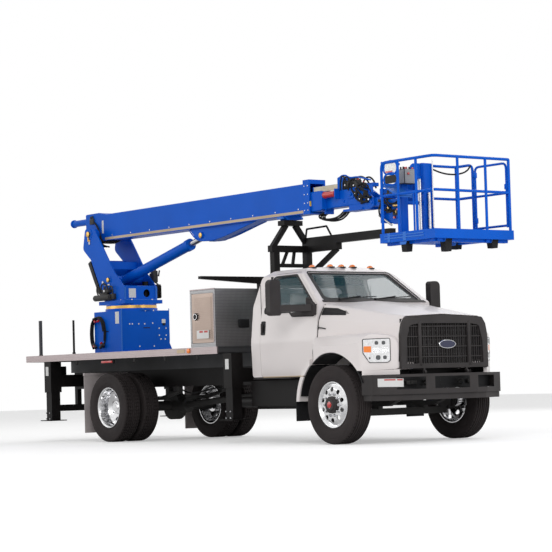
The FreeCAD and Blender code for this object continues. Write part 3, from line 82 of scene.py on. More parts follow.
class Finish:
    """Builds a material from nodes, one named node at a time."""

    def __init__(self, name):
        self.material = bpy.data.materials.new(name)
        self.material.use_nodes = True
        self.nodes = self.material.node_tree.nodes
        self.links = self.material.node_tree.links
        self.shader = self.nodes["Principled BSDF"]
        self.place = self.nodes.new("ShaderNodeTexCoord")

    def set(self, **values):
        """Shader inputs by name, spaces written as underscores."""
        for socket, value in values.items():
            self.shader.inputs[socket.replace("_", " ")].default_value = value
        return self

    def spread(self, scale=(1, 1, 1)):
        """Object coordinates stretched along chosen directions."""
        mapping = self.nodes.new("ShaderNodeMapping")
        mapping.inputs["Scale"].default_value = scale
        self.links.new(self.place.outputs["Object"], mapping.inputs["Vector"])
        return mapping.outputs["Vector"]

    def noise(self, scale, detail=4, stretch=(1, 1, 1)):
        """A cloudy texture."""
        cloud = self.nodes.new("ShaderNodeTexNoise")
        cloud.inputs["Scale"].default_value = scale
        cloud.inputs["Detail"].default_value = detail
        self.links.new(self.spread(stretch), cloud.inputs["Vector"])
        return cloud.outputs["Fac"]

    def ramp(self, source, *stops):
        """A colour ramp from pairs of position and colour."""
        ramp = self.nodes.new("ShaderNodeValToRGB")
        points = ramp.color_ramp.elements
        for index, (position, colour) in enumerate(stops):
            point = points[index] if index < 2 else points.new(position)
            point.position = position
            point.color = colour if len(colour) == 4 else (*colour, 1)
        self.links.new(source, ramp.inputs["Fac"])
        return ramp.outputs["Color"]

    def number(self, source, low, high):
        """A number that follows a texture between two limits."""
        spread = self.nodes.new("ShaderNodeMapRange")
        spread.inputs["To Min"].default_value = low
        spread.inputs["To Max"].default_value = high
        self.links.new(source, spread.inputs["Value"])
        return spread.outputs["Result"]

    def join(self, source, socket):
        """Feed one of the shader's inputs from a texture."""
        self.links.new(source, self.shader.inputs[socket])
        return self

    def bump(self, source, strength, distance):
        """Small relief from a texture."""
        bump = self.nodes.new("ShaderNodeBump")
        bump.inputs["Strength"].default_value = strength
        bump.inputs["Distance"].default_value = distance
        self.links.new(source, bump.inputs["Height"])
        self.links.new(bump.outputs["Normal"], self.shader.inputs["Normal"])
        return self

    def maths(self, kind, first, second):
        """One step of arithmetic on numbers or textures."""
        step = self.nodes.new("ShaderNodeMath")
        step.operation = kind
        for socket, value in zip(step.inputs, (first, second)):
            if isinstance(value, (int, float)):
                socket.default_value = value
            else:
                self.links.new(value, socket)
        return step.outputs["Value"]


def shade(colour, factor):
    """A colour made lighter or darker."""
    return tuple(min(1, part * factor) for part in colour[:3]) + (1,)


def paint(name, colour, rough, soil=0.82, coat=0.4, shine=0.5, peel=0.04):
    """Sprayed gloss paint: faint orange peel, dust in broad patches, slightly uneven gloss."""
    made = Finish(name)
    patches = made.noise(1.3, 6)
    made.join(made.ramp(patches, (0.35, shade(colour, soil)), (0.62, colour)), "Base Color")
    made.join(made.number(made.noise(2, 2), rough * 0.85, rough * 1.2), "Roughness")
    made.bump(made.noise(220, 2), peel, 0.001)
    return made.set(Coat_Weight=coat, Coat_Roughness=0.12, Specular_IOR_Level=shine).material


def metal(name, colour, rough, stretch=(1, 1, 1), scale=60, depth=0.06):
    """Bare metal with a grain that runs one way."""
    made = Finish(name)
    grain = made.noise(scale, 6, stretch)
    made.join(made.ramp(grain, (0.3, shade(colour, 0.82)), (0.7, colour)), "Base Color")
    made.join(made.number(made.noise(5, 4), rough * 0.75, rough * 1.3), "Roughness")
    made.bump(grain, depth, 0.001)
    return made.set(Metallic=1.0).material


PLATE_BARS = 150


def plate(name, colour, rough):
    """Raised tread plate: short bars that cross in alternate squares, with the flat plate between the bars
    painted darker as shade.
    """
    made = Finish(name)
    place = made.spread((1, 1, 1))
    apart = made.nodes.new("ShaderNodeSeparateXYZ")
    made.links.new(place, apart.inputs["Vector"])
    turned = made.maths("ADD", apart.outputs["X"], apart.outputs["Y"])
    waves = []
    for kind in ("ADD", "SUBTRACT"):
        slanted = made.maths(kind, turned, apart.outputs["Z"])
        waves.append(made.maths("SINE", made.maths("MULTIPLY", slanted, PLATE_BARS), 0))
    bars = made.maths("MULTIPLY", *waves)
    # painted shade: where the bars are low the plate is 0.55 of its colour, so the raised bars read lighter
    made.join(made.ramp(bars, (0.35, shade(colour, 0.55)), (0.6, colour)), "Base Color")
    made.join(made.number(made.noise(9, 4), rough * 0.8, rough * 1.3), "Roughness")
    made.bump(made.number(bars, 0, 1), 0.35, 0.003)
    return made.set(Metallic=1.0).material


def moulded(name, colour, rough, grain=420, depth=0.12, shine=0.25):
    """Moulded plastic or rubber with a fine cast grain."""
    made = Finish(name)
    made.join(made.ramp(made.noise(3, 5), (0.3, shade(colour, 0.8)), (0.7, shade(colour, 1.25))),
              "Base Color")
    made.join(made.number(made.noise(12, 4), rough * 0.85, rough * 1.15), "Roughness")
    made.bump(made.noise(grain, 3), depth, 0.001)
    return made.set(Specular_IOR_Level=shine).material


def lens(name, colour, rough=0.08, glow=0.0):
    """A coloured lamp lens with fine ribs."""
    made = Finish(name)
    ribs = made.noise(90, 2, (1, 6, 1))
    made.join(made.ramp(ribs, (0.35, shade(colour, 0.7)), (0.65, colour)), "Base Color")
    made.bump(ribs, 0.15, 0.001)
    return made.set(Roughness=rough, Coat_Weight=0.6, Emission_Color=colour, Emission_Strength=glow).material


def pane(name, tint, clear):
    """Window glass, lightly tinted, with a faint film of dust."""
    made = Finish(name)
    made.join(made.ramp(made.noise(2.2, 5), (0.3, shade(tint, 0.85)), (0.7, tint)), "Base Color")
    made.join(made.number(made.noise(3, 1), 0.02, 0.04), "Roughness")
    return made.set(Alpha=clear, IOR=1.5, Coat_Weight=0.3).material


def cloth(name, colour):
    """Woven seat cloth with a visible weave and a soft sheen."""
    made = Finish(name)
    weave = made.maths("MULTIPLY", made.noise(300, 2, (1, 4, 1)), made.noise(300, 2, (4, 1, 1)))
    made.join(made.ramp(weave, (0.1, shade(colour, 0.6)), (0.45, colour)), "Base Color")
    made.bump(weave, 0.5, 0.001)
    return made.set(Roughness=0.9, Sheen_Weight=0.3).material


FINISHES = {}


def make_finishes():
    """All of the truck's finishes, by name."""
    FINISHES.update(
        blue=paint("boom blue paint", setting("blue"), 0.34, 0.9, 0.0, 0.1),
        white=paint("cab white paint", setting("white"), 0.32, 0.985, 0.2, 0.4, 0.008),
        black=paint("chassis black paint", setting("chassis_black"), 0.45, 0.7, 0.0, 0.15),
        trim=moulded("moulded trim", setting("trim_grey"), 0.55),
        rubber=moulded("black rubber", (0.012, 0.012, 0.013, 1), 0.75, 260, 0.2),
        tyre=moulded("tyre rubber", (0.026, 0.021, 0.021, 1), 0.78, 180, 0.25),
        iron=moulded("cast iron", (0.035, 0.034, 0.033, 1), 0.6, 120, 0.5),
        aluminium=metal("mill aluminium", (0.50, 0.43, 0.43, 1), 0.42, (1, 1, 14)),
        ribbed=metal("ribbed aluminium", (0.44, 0.35, 0.30, 1), 0.34, (0.2, 0.2, 20), 30, 0.35),
        tread_plate=plate("tread plate", (0.50, 0.50, 0.51, 1), 0.32),
        polished=metal("polished aluminium", (0.86, 0.86, 0.87, 1), 0.14, (1, 1, 1), 30, 0.02),
        steel=metal("ground steel", (0.58, 0.58, 0.60, 1), 0.20, (1, 1, 8)),
        gold=metal("plated pins", (0.78, 0.47, 0.13, 1), 0.30),
        deck=paint("deck coating", (0.055, 0.056, 0.060, 1), 0.6, 0.75, 0.0),
        glass=pane("window glass", (0.05, 0.15, 0.18, 1), 0.24),
        amber=lens("amber lens", setting("amber"), 0.1, 0.15),
        red=lens("red lens", (0.62, 0.012, 0.010, 1)),
        gasket=moulded("black trim", (0.010, 0.010, 0.011, 1), 0.5, 300, 0.08),
        chrome=metal("lamp chrome", (0.88, 0.88, 0.89, 1), 0.10, (1, 1, 1), 40, 0.02),
        dark_glass=lens("smoked glass", (0.08, 0.085, 0.09, 1)),
        clear=lens("clear lens", (0.85, 0.85, 0.83, 1)),
        tan=paint("tan edging", (0.60, 0.48, 0.33, 1), 0.6, 0.85, 0.0, 0.3),
        cream=moulded("cream plastic", (0.60, 0.55, 0.42, 1), 0.55),
        brass=metal("brass", (0.80, 0.52, 0.20, 1), 0.3),
        label=paint("blank plates", (0.72, 0.72, 0.71, 1), 0.5, 0.92, 0.0),
        # a lighter copy of the boom blue, put on edges and faces that catch the light: a painted highlight
        light_blue=paint("light blue edges", (0.02, 0.16, 0.62, 1), 0.4, 0.85, 0.0, 0.3),
        flap=moulded("mud flap", (0.42, 0.38, 0.38, 1), 0.6),
        lining=moulded("cab lining", (0.045, 0.042, 0.040, 1), 0.8),
        yellow=paint("yellow paint", (0.85, 0.52, 0.03, 1), 0.45, 0.85, 0.2),
        red_paint=paint("red paint", (0.55, 0.02, 0.015, 1), 0.35, 0.8, 0.3),
        grey=moulded("grey plastic", (0.30, 0.31, 0.32, 1), 0.5),
        mesh=moulded("grille mesh", (0.10, 0.10, 0.10, 1), 0.5),
        blue_black=paint("badge enamel", (0.004, 0.008, 0.05, 1), 0.3, 0.9, 0.4),
        cloth=cloth("seat cloth", (0.52, 0.51, 0.48, 1)),
    )


NODE_FINISHES = {
    "blue": ("pedestal", "turret", "boom_base", "boom_middle", "boom_fly", "lift_barrel", "basket_mount",
             "basket_floor", "basket_rails", "basket_gate"),
    "white": ("cab_shell", "door_right", "door_left", "fender_extensions", "hood", "headlamps"),
    "black": ("chassis_frame", "side_box_and_tanks", "boom_rest",
              "rear_outrigger_leg_right", "rear_outrigger_leg_left", "front_outrigger_leg_right",
              "front_outrigger_leg_left", "outrigger_sleeves", "slew_drive"),
    "trim": ("front_bumper", "grille", "dashboard", "control_box", "mirror_right", "mirror_left"),
    "rubber": ("basket_feet", "pedestal_hoses", "boom_hoses"),
    "flap": ("mud_flaps",),
    "tyre": ("front_tyre_right", "front_tyre_left", "rear_tyres_right", "rear_tyres_left"),
    "iron": ("steering_knuckle_right", "steering_knuckle_left", "axles", "tie_rod",
             "engine_block"),
    "aluminium": ("deck_edge_rails",),
    "ribbed": ("toolbox_door_right", "toolbox_door_left"),
    "tread_plate": ("toolbox",),
    "polished": ("front_wheel_right", "front_wheel_left", "rear_wheels_right", "rear_wheels_left"),
    "steel": ("lift_rod",),
    "gold": ("turret_pins", "slew_ring"),
    "deck": ("deck",),
    "glass": ("cab_glass", "door_glass_right", "door_glass_left"),
    "cloth": ("cab_seats",),
}


class TRUCK_OT_finishes(bpy.types.Operator):
    """Give every solid of the truck its own finish"""
    bl_idname = "truck.finishes"
    bl_label = "Paint the Solids"

    def execute(self, context):
        make_finishes()
        for finish, nodes in NODE_FINISHES.items():
            for node in nodes:
                slots = NODES[node].data.materials
                slots.clear()
                slots.append(FINISHES[finish])
        return {"FINISHED"}


# ---------------------------------------------------------------- modelling

def nothing_selected():
    """Leave every piece deselected, outside edit mode."""
    if bpy.context.mode != "OBJECT":
        bpy.ops.object.mode_set(mode="OBJECT")
    bpy.ops.object.select_all(action="DESELECT")


def only(piece):
    """Select one object and make it active."""
    nothing_selected()
    piece.select_set(True)
    bpy.context.view_layer.objects.active = piece
    return piece


def joined(pieces):
    """One object made of several."""
    only(pieces[0])
    for piece in pieces[1:]:
        piece.select_set(True)
    if len(pieces) > 1:
        bpy.ops.object.join()
    return bpy.context.object


def finished(pieces, name, body, finish, smooth=35):
    """Join pieces into one, with its place in its mesh, and let it ride on a body."""
    piece = joined(pieces if isinstance(pieces, list) else [pieces])
    piece.name = name
    piece.data.name = name
    bpy.ops.object.transform_apply(location=True, rotation=True, scale=True)
    bpy.ops.object.shade_smooth_by_angle(angle=math.radians(smooth))
    piece.data.materials.clear()
    piece.data.materials.append(FINISHES[finish])
    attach(piece, body)
    return piece


def edit(piece, mode="VERT"):
    """Open one piece for editing with everything in it selected."""
    only(piece)
    bpy.ops.object.mode_set(mode="EDIT")
    bpy.ops.mesh.select_mode(type=mode)
    bpy.ops.mesh.select_all(action="SELECT")


def block(low, high, bevel=0.004, steps=1):
    """A box between two corners with its edges eased."""
    low, high = Vector(low), Vector(high)
    nothing_selected()
    bpy.ops.mesh.primitive_cube_add(size=1, location=(low + high) / 2)
    piece = bpy.context.object
    piece.scale = high - low
    bpy.ops.object.transform_apply(location=True, rotation=True, scale=True)
    if bevel:
        edit(piece, "EDGE")
        bpy.ops.mesh.bevel(offset=bevel, segments=steps, affect="EDGES", clamp_overlap=True)
        bpy.ops.object.mode_set(mode="OBJECT")
    return piece


def post(start, end, radius, sides=16, bevel=0.0, tip=None):
    """A round bar from one point to another; a tip radius makes it taper."""
    start, end = Vector(start), Vector(end)
    run = end - start
    nothing_selected()
    bpy.ops.mesh.primitive_cone_add(
        vertices=sides, radius1=radius, radius2=radius if tip is None else tip, depth=run.length,
        location=(start + end) / 2, rotation=run.to_track_quat("Z", "Y").to_euler())
    piece = bpy.context.object
    bpy.ops.object.transform_apply(location=True, rotation=True, scale=True)
    if bevel:
        edit(piece, "FACE")
        bpy.ops.mesh.select_all(action="DESELECT")
        bpy.ops.object.mode_set(mode="OBJECT")
        for face in piece.data.polygons:
            face.select = len(face.vertices) == sides
        bpy.ops.object.mode_set(mode="EDIT")
        bpy.ops.mesh.region_to_loop()
        bpy.ops.mesh.bevel(offset=bevel, segments=2, affect="EDGES")
        bpy.ops.object.mode_set(mode="OBJECT")
    return piece


def hose(points, radius, sides=4, handles="AUTO"):
    """A round hose or wire on a smooth curve through points, or on straight runs between them."""
    nothing_selected()
    bpy.ops.curve.primitive_bezier_curve_add()
    line = bpy.context.object
    curve = line.data
    curve.splines.clear()
    run = curve.splines.new("BEZIER")
    run.bezier_points.add(len(points) - 1)
    for knot, place in zip(run.bezier_points, points):
        knot.co = place
        knot.handle_left_type = knot.handle_right_type = handles
    curve.bevel_depth = radius
    curve.bevel_resolution = sides
    curve.use_fill_caps = True
    curve.resolution_u = 12 if handles == "AUTO" else 1
    only(line)
    bpy.ops.object.convert(target="MESH")
    return bpy.context.object


def sheet(points, push, bevel=0.0):
    """A flat outline given as points in space, pushed to a thickness along a direction."""
    nothing_selected()
    bpy.ops.mesh.primitive_circle_add(vertices=len(points), fill_type="NGON")
    piece = bpy.context.object
    for corner, place in zip(piece.data.vertices, points):
        corner.co = place
    edit(piece, "FACE")
    bpy.ops.mesh.extrude_region_move(TRANSFORM_OT_translate={"value": push})
    bpy.ops.mesh.select_all(action="SELECT")
    bpy.ops.mesh.normals_make_consistent(inside=False)
    if bevel:
        bpy.ops.mesh.bevel(offset=bevel, segments=1, affect="EDGES")
    bpy.ops.object.mode_set(mode="OBJECT")
    return piece


def spun(profile, centre, steps, axis=(0, 1, 0)):
    """A closed profile of distance along the axis and radius, spun about the axis."""
    nothing_selected()
    bpy.ops.mesh.primitive_circle_add(vertices=len(profile))
    piece = bpy.context.object
    along = Vector(axis)
    out = Vector((0, 0, 1)) if abs(along.z) < 0.5 else Vector((1, 0, 0))
    for corner, (distance, radius) in zip(piece.data.vertices, profile):
        corner.co = Vector(centre) + along * distance + out * radius
    edit(piece)
    bpy.ops.mesh.spin(steps=steps, angle=2 * math.pi, center=centre, axis=axis)
    bpy.ops.mesh.select_all(action="SELECT")
    bpy.ops.mesh.remove_doubles(threshold=0.0002)
    bpy.ops.mesh.normals_make_consistent(inside=False)
    bpy.ops.object.mode_set(mode="OBJECT")
    return piece


def copied(piece, shift=(0, 0, 0), flip=None):
    """A copy with its own mesh, moved, or mirrored across the truck's middle."""
    only(piece)
    bpy.ops.object.duplicate(linked=False)
    twin = bpy.context.object
    if flip == "Y":
        edit(twin)
        bpy.ops.transform.mirror(orient_type="GLOBAL", constraint_axis=(False, True, False),
                                 center_override=(0, 0, 0))
        bpy.ops.mesh.normals_make_consistent(inside=False)
        bpy.ops.object.mode_set(mode="OBJECT")
    for corner in twin.data.vertices:
        corner.co += Vector(shift)
    return twin


def both(name, body, finish, make, smooth=35):
    """A right-hand piece and its mirror image, each on its own side's body."""
    right = make()
    right = joined(right if isinstance(right, list) else [right])
    left = copied(right, flip="Y")
    finished(right, f"{name}_right", body.format("right"), finish, smooth)
    return finished(left, f"{name}_left", body.format("left"), finish, smooth)


def rounded(corners, steps=6):
    """A flat outline with rounded corners: each corner is two coordinates and a radius."""
    made = []
    for index, (across, up, radius) in enumerate(corners):
        corner = Vector((across, up))
        before = Vector(corners[index - 1][:2]) - corner
        after = Vector(corners[(index + 1) % len(corners)][:2]) - corner
        reach = radius / math.tan(before.angle(after) / 2)
        start = corner + before.normalized() * min(reach, before.length * 0.49)
        end = corner + after.normalized() * min(reach, after.length * 0.49)
        for step in range(steps + 1):
            share = step / steps
            made.append(start * (1 - share) ** 2 + corner * 2 * share * (1 - share) + end * share ** 2)
    return made


def oblong(low, high, radius):
    """The corners of an upright rectangle, for rounding, from its low and high corners."""
    (left, foot), (right, top) = low, high
    return ((left, foot, radius), (left, top, radius), (right, top, radius), (right, foot, radius))


def skin(*nodes):
    """The outer faces of some solids, as a tree that lines can be dropped on."""
    corners, faces = [], []
    for node in nodes:
        mesh = NODES[node].data
        first = len(corners)
        corners += [corner.co.copy() for corner in mesh.vertices]
        faces += [[first + index for index in face.vertices] for face in mesh.polygons]
    return BVHTree.FromPolygons(corners, faces)


def landed(tree, start, way, lift=0.0):
    """Where a line from a point meets a skin, lifted back off it by a little."""
    start, way = Vector(start), Vector(way)
    met = tree.ray_cast(start, way)[0]
    return (start if met is None else met) - way * lift


def side_of(tree, reach=-1.3, lift=0.002, default=None):
    """A rule that lays a flat outline of length and height on the truck's right side."""
    def place(point):
        met = tree.ray_cast(Vector((point[0], reach, point[1])), Vector((0, 1, 0)))[0]
        if met is None:
            return Vector((point[0], default if default is not None else reach, point[1]))
        return Vector((met.x, met.y - lift, met.z))
    return place


def wire(outline):
    """A closed line of edges in the flat."""
    nothing_selected()
    bpy.ops.mesh.primitive_circle_add(vertices=len(outline))
    piece = bpy.context.object
    for corner, point in zip(piece.data.vertices, outline):
        corner.co = (point[0], point[1], 0)
    return piece


def laid(piece, place, thick):
    """A flat shape put on a surface by a rule, and thickened to both sides."""
    for corner in piece.data.vertices:
        corner.co = place(corner.co)
    only(piece)
    bpy.ops.object.modifier_add(type="SOLIDIFY")
    piece.modifiers[-1].thickness = thick
    piece.modifiers[-1].offset = 0
    bpy.ops.object.modifier_apply(modifier=piece.modifiers[-1].name)
    edit(piece, "FACE")
    bpy.ops.mesh.normals_make_consistent(inside=False)
    bpy.ops.object.mode_set(mode="OBJECT")
    return piece


def framed(outer, inner, place, thick, cuts=1):
    """A frame between two outlines with as many points, laid on a surface."""
    piece = joined([wire(outer), wire(inner)])
    edit(piece, "EDGE")
    bpy.ops.mesh.bridge_edge_loops(number_cuts=cuts, interpolation="LINEAR", smoothness=0)
    bpy.ops.object.mode_set(mode="OBJECT")
    return laid(piece, place, thick)


def patch(outline, place, thick, cuts=2):
    """A filled outline laid on a surface, with enough points inside to follow it."""
    piece = wire(outline)
    edit(piece, "EDGE")
    bpy.ops.mesh.fill()
    bpy.ops.mesh.subdivide(number_cuts=cuts)
    bpy.ops.object.mode_set(mode="OBJECT")
    return laid(piece, place, thick)


def fittings(name, body, finish, blocks=(), posts=(), hoses=(), extra=(), smooth=35):
    """One piece made of boxes, round bars and hoses, each from a short row of sizes."""
    made = [block(*row) for row in blocks]
    made += [post(*row) for row in posts]
    made += [hose(*row) for row in hoses]
    return finished(made + list(extra), name, body, finish, smooth)


# ---------------------------------------------------------------- tyres and wheels

AXLE_HEIGHT = 0.512
FRONT_AXLE = 3.25
REAR_AXLE = -2.0
FRONT_TRACK = 1.03
OUTER_TRACK = 1.0945
INNER_TRACK = 0.7615
TYRE_HALF = (
    # half of the tyre's section: across it, radius
    (0.098, 0.300), (0.112, 0.306), (0.120, 0.322), (0.117, 0.328), (0.128, 0.350), (0.1335, 0.380),
    (0.1345, 0.405), (0.1345, 0.432), (0.1325, 0.434), (0.1325, 0.448), (0.1335, 0.450), (0.1315, 0.470),
    (0.1285, 0.488), (0.1225, 0.502), (0.114, 0.509),
)
TREAD_HALF = (
    # ribs and grooves from the shoulder to the middle: across, and how deep as a share of the groove
    (0.096, 0), (0.093, 1), (0.084, 1), (0.081, 0), (0.060, 0), (0.057, 1), (0.049, 1), (0.046, 0),
    (0.022, 0), (0.019, 1), (0.011, 1), (0.008, 0),
)
TREAD_RADIUS = 0.5118
PITCHES = 60
# the cross slots: where they start, how far across on front and rear tyres, share of a pitch and of the depth
SLOT_RADIUS = 0.5
FRONT_SLOTS = 0.095
REAR_SLOTS = 0.021
SLOT_SHARE = 0.34
SLOT_DEPTH = 0.7


def tyre(place, slots_from):
    """A tyre with ribs and grooves all round, and cross slots beyond a distance across it."""
    x, y = place
    depth = setting("tread_depth")
    half = list(TYRE_HALF) + [(across, TREAD_RADIUS - depth * share) for across, share in TREAD_HALF]
    profile = half + [(-across, radius) for across, radius in reversed(half)]
    piece = spun(profile, (x, y, AXLE_HEIGHT), PITCHES * 3)
    edit(piece, "FACE")
    bpy.ops.mesh.select_all(action="DESELECT")
    bpy.ops.object.mode_set(mode="OBJECT")
    middle = Vector((x, y, AXLE_HEIGHT))
    for face in piece.data.polygons:
        away = face.center - middle
        radius = math.hypot(away.x, away.z)
        turn = (math.atan2(away.z, away.x) / (2 * math.pi) * PITCHES) % 1
        across = abs(away.y) > slots_from and abs(face.normal.y) < 0.8
        face.select = across and turn < SLOT_SHARE and radius > SLOT_RADIUS
    bpy.ops.object.mode_set(mode="EDIT")
    bpy.ops.mesh.extrude_region_shrink_fatten(TRANSFORM_OT_shrink_fatten={"value": -depth * SLOT_DEPTH})
    bpy.ops.object.mode_set(mode="OBJECT")
    return piece


class TRUCK_OT_tyres(bpy.types.Operator):
    """Build the ribbed front tyres and the blocked rear twin tyres"""
    bl_idname = "truck.tyres"
    bl_label = "Tyres"

    def execute(self, context):
        for side, sign in (("right", -1), ("left", 1)):
            front = finished(tyre((FRONT_AXLE, sign * FRONT_TRACK), FRONT_SLOTS),
                             f"front_tyre_{side}_tread", f"front_wheel_{side}", "tyre", 25)
            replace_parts(front, f"front_tyre_{side}")
            twins = [tyre((REAR_AXLE, sign * track), REAR_SLOTS) for track in (OUTER_TRACK, INNER_TRACK)]
            rear = finished(twins, f"rear_tyres_{side}_tread", f"rear_wheels_{side}", "tyre", 25)
            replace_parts(rear, f"rear_tyres_{side}")
        return {"FINISHED"}


HUB_COVER = (
    # the black front hub: out from the wheel's middle, radius
    (0.118, 0.113), (0.151, 0.1085), (0.1535, 0.0875), (0.171, 0.0795), (0.171, 0.045), (0.165, 0.042),
    (0.165, 0.0), (0.150, 0.0), (0.118, 0.100),
)
NUT_RING = 0.143
NUTS = 10
# out from the middle of the tyre, or of the twins: where the nuts sit and the red cap starts
FRONT_NUT_SEAT = 0.118
REAR_NUT_SEAT = 0.034
CAP_SEAT = 0.164


def wheel_nut(x, y, z, outward):
    """A hexagonal nut on its washer, with the stud's end showing."""
    return [
        post((x, y, z), (x, y + outward * 0.005, z), 0.0195, 12),
        post((x, y + outward * 0.004, z), (x, y + outward * 0.024, z), 0.0172, 6, 0.0015),
        post((x, y + outward * 0.022, z), (x, y + outward * 0.031, z), 0.0088, 10),
    ]


class TRUCK_OT_wheel_trim(bpy.types.Operator):
    """Add the hub covers, red centre caps and wheel nuts"""
    bl_idname = "truck.wheel_trim"
    bl_label = "Wheel Trim"

    def execute(self, context):
        for side, sign in (("right", -1), ("left", 1)):
            body = f"front_wheel_{side}"
            centre = (FRONT_AXLE, sign * FRONT_TRACK, AXLE_HEIGHT)
            cover = spun([(sign * out, radius) for out, radius in HUB_COVER], centre, 40)
            finished(cover, f"hub_cover_{side}", body, "trim")
            face = sign * (FRONT_TRACK + CAP_SEAT)
            cap = post((FRONT_AXLE, face, AXLE_HEIGHT), (FRONT_AXLE, face + sign * 0.012, AXLE_HEIGHT),
                       0.040, 24, 0.003)
            finished(cap, f"hub_cap_{side}", body, "red")
            front_nuts, rear_nuts = [], []
            front_seat = sign * (FRONT_TRACK + FRONT_NUT_SEAT)
            rear_seat = sign * ((OUTER_TRACK + INNER_TRACK) / 2 + REAR_NUT_SEAT)
            for index in range(NUTS):
                turn = 2 * math.pi * index / NUTS
                x, z = NUT_RING * math.cos(turn), NUT_RING * math.sin(turn)
                front_nuts += wheel_nut(FRONT_AXLE + x, front_seat, AXLE_HEIGHT + z, sign)
                rear_nuts += wheel_nut(REAR_AXLE + x, rear_seat, AXLE_HEIGHT + z, sign)
            finished(front_nuts, f"front_nuts_{side}", body, "steel")
            finished(rear_nuts, f"rear_nuts_{side}", f"rear_wheels_{side}", "steel")
        return {"FINISHED"}


# ---------------------------------------------------------------- cab

WINDOW_OPENING = (
    # the door window: along the truck, height, corner radius
    (1.650, 1.772, 0.040), (1.650, 2.240, 0.080), (2.145, 2.246, 0.080), (2.675, 1.850, 0.040),
    (2.694, 1.700, 0.030), (2.260, 1.712, 0.040), (2.190, 1.772, 0.040),
)
WINDOW_RUBBER = (
    # the outer edge of its rubber
    (1.628, 1.746, 0.050), (1.628, 2.262, 0.095), (2.153, 2.270, 0.095), (2.706, 1.858, 0.040),
    (2.726, 1.676, 0.035), (2.250, 1.686, 0.040), (2.180, 1.746, 0.040),
)
MIRROR_SAIL = (
    # the black corner plate that carries the mirror
    (2.552, 1.690, 0.010), (2.560, 1.938, 0.020), (2.716, 1.850, 0.020), (2.730, 1.680, 0.020),
)
HANDLE_BEZEL = oblong((1.578, 1.465), (1.668, 1.652), 0.022)
HANDLE_DISH = oblong((1.590, 1.479), (1.656, 1.638), 0.016)
SIDE_VENT = (
    (2.828, 1.689, 0.006), (2.834, 1.785, 0.006), (3.060, 1.766, 0.050), (3.200, 1.722, 0.030),
    (3.232, 1.670, 0.010),
)
VENT_INSET = (
    (2.848, 1.701, 0.006), (2.852, 1.769, 0.006), (3.052, 1.751, 0.040), (3.184, 1.712, 0.025),
    (3.208, 1.684, 0.010),
)
ROOF_LAMPS = (-0.513, -0.196, 0.0, 0.196, 0.513)
ROOF_LAMP_X = 2.11


class TRUCK_OT_cab_trim(bpy.types.Operator):
    """Lay the window rubbers, mirror plates, door handles, seams and side vents"""
    bl_idname = "truck.cab_trim"
    bl_label = "Cab Trim"

    def execute(self, context):
        doors = skin("door_right", "cab_shell")
        noses = skin("hood", "cab_shell")
        on_door = side_of(doors, lift=0.003, default=-0.98)
        on_nose = side_of(noses, lift=0.003, default=-0.98)
        button, latch = on_door((2.774, 1.355)), on_nose((2.822, 1.5))
        both("window_rubber", "door_{}", "gasket",
             lambda: framed(rounded(WINDOW_RUBBER), rounded(WINDOW_OPENING), on_door, 0.010, 2))
        both("mirror_plate", "door_{}", "trim", lambda: patch(rounded(MIRROR_SAIL), on_door, 0.026))
        both("handle_bezel", "door_{}", "gasket",
             lambda: [framed(rounded(HANDLE_BEZEL), rounded(HANDLE_DISH), on_door, 0.012),
                      patch(rounded(HANDLE_DISH), on_door, 0.004)])
        both("handle_grip", "door_{}", "trim", lambda: [
            block((1.600, -1.034, 1.500), (1.632, -1.012, 1.622), 0.008, 2),
            block((1.604, -1.024, 1.494), (1.628, -1.006, 1.512), 0.003)])
        both("front_seam", "hood", "gasket", lambda: hose(
            [on_nose(spot) for spot in ((2.820, 1.10), (2.817, 1.25), (2.815, 1.40), (2.815, 1.55),
                                        (2.816, 1.66), (2.818, 1.76), (2.819, 1.83))], 0.0055))
        both("door_seam", "chassis", "gasket", lambda: hose(
            [on_door((1.557, height)) for height in (0.93, 1.2, 1.5, 1.8, 2.0, 2.15)], 0.004))
        both("side_vent", "hood", "gasket",
             lambda: [framed(rounded(SIDE_VENT), rounded(VENT_INSET), on_nose, 0.010),
                      patch(rounded(VENT_INSET), on_nose, 0.004)])
        both("vent_slats", "hood", "trim", lambda: [
            hose([on_nose((x, height + (3.25 - x) * 0.12)) for x in (2.880, 3.0, 3.12, end)], 0.0035)
            for height, end in ((1.693, 3.262), (1.706, 3.240), (1.719, 3.215))])
        both("lock_button", "door_{}", "red",
             lambda: post(button, button - Vector((0, 0.006, 0)), 0.009, 14, 0.002))
        both("hood_latch", "hood", "gasket", lambda: [
            hose([on_nose((x, z)) - Vector((0, out, 0)) for x, z, out in
                  ((2.800, 1.530, 0.006), (2.85, 1.521, 0.014), (2.90, 1.515, 0.014), (2.944, 1.504, 0.004))],
                 0.0075),
            block(latch - Vector((0.008, 0.010, 0)), latch + Vector((0.008, 0.004, 0.052)))])
        return {"FINISHED"}


class TRUCK_OT_roof_lamps(bpy.types.Operator):
    """Set five amber marker lamps along the roof's front edge"""
    bl_idname = "truck.roof_lamps"
    bl_label = "Roof Lamps"

    def execute(self, context):
        roof = skin("cab_shell")
        lamps, seats = [], []
        for across in ROOF_LAMPS:
            top = landed(roof, (ROOF_LAMP_X, across, 3), (0, 0, -1))
            seats.append(block(top + Vector((-0.062, -0.036, -0.010)), top + Vector((0.062, 0.036, 0.010)),
                               0.008, 2))
            lens_half = spun(((-0.030, 0), (-0.030, 0.026), (-0.020, 0.033), (0.006, 0.036), (0.026, 0.026),
                              (0.034, 0.010), (0.035, 0)), (0, 0, 0), 20, (1, 0, 0))
            for corner in lens_half.data.vertices:
                x, y, z = corner.co
                corner.co = top + Vector((x * 1.5, y * 0.85, max(0, z) * 0.95 + 0.008))
            lamps.append(lens_half)
        finished(seats, "roof_lamp_seats", "chassis", "trim")
        finished(lamps, "roof_lamps", "chassis", "amber")
        return {"FINISHED"}


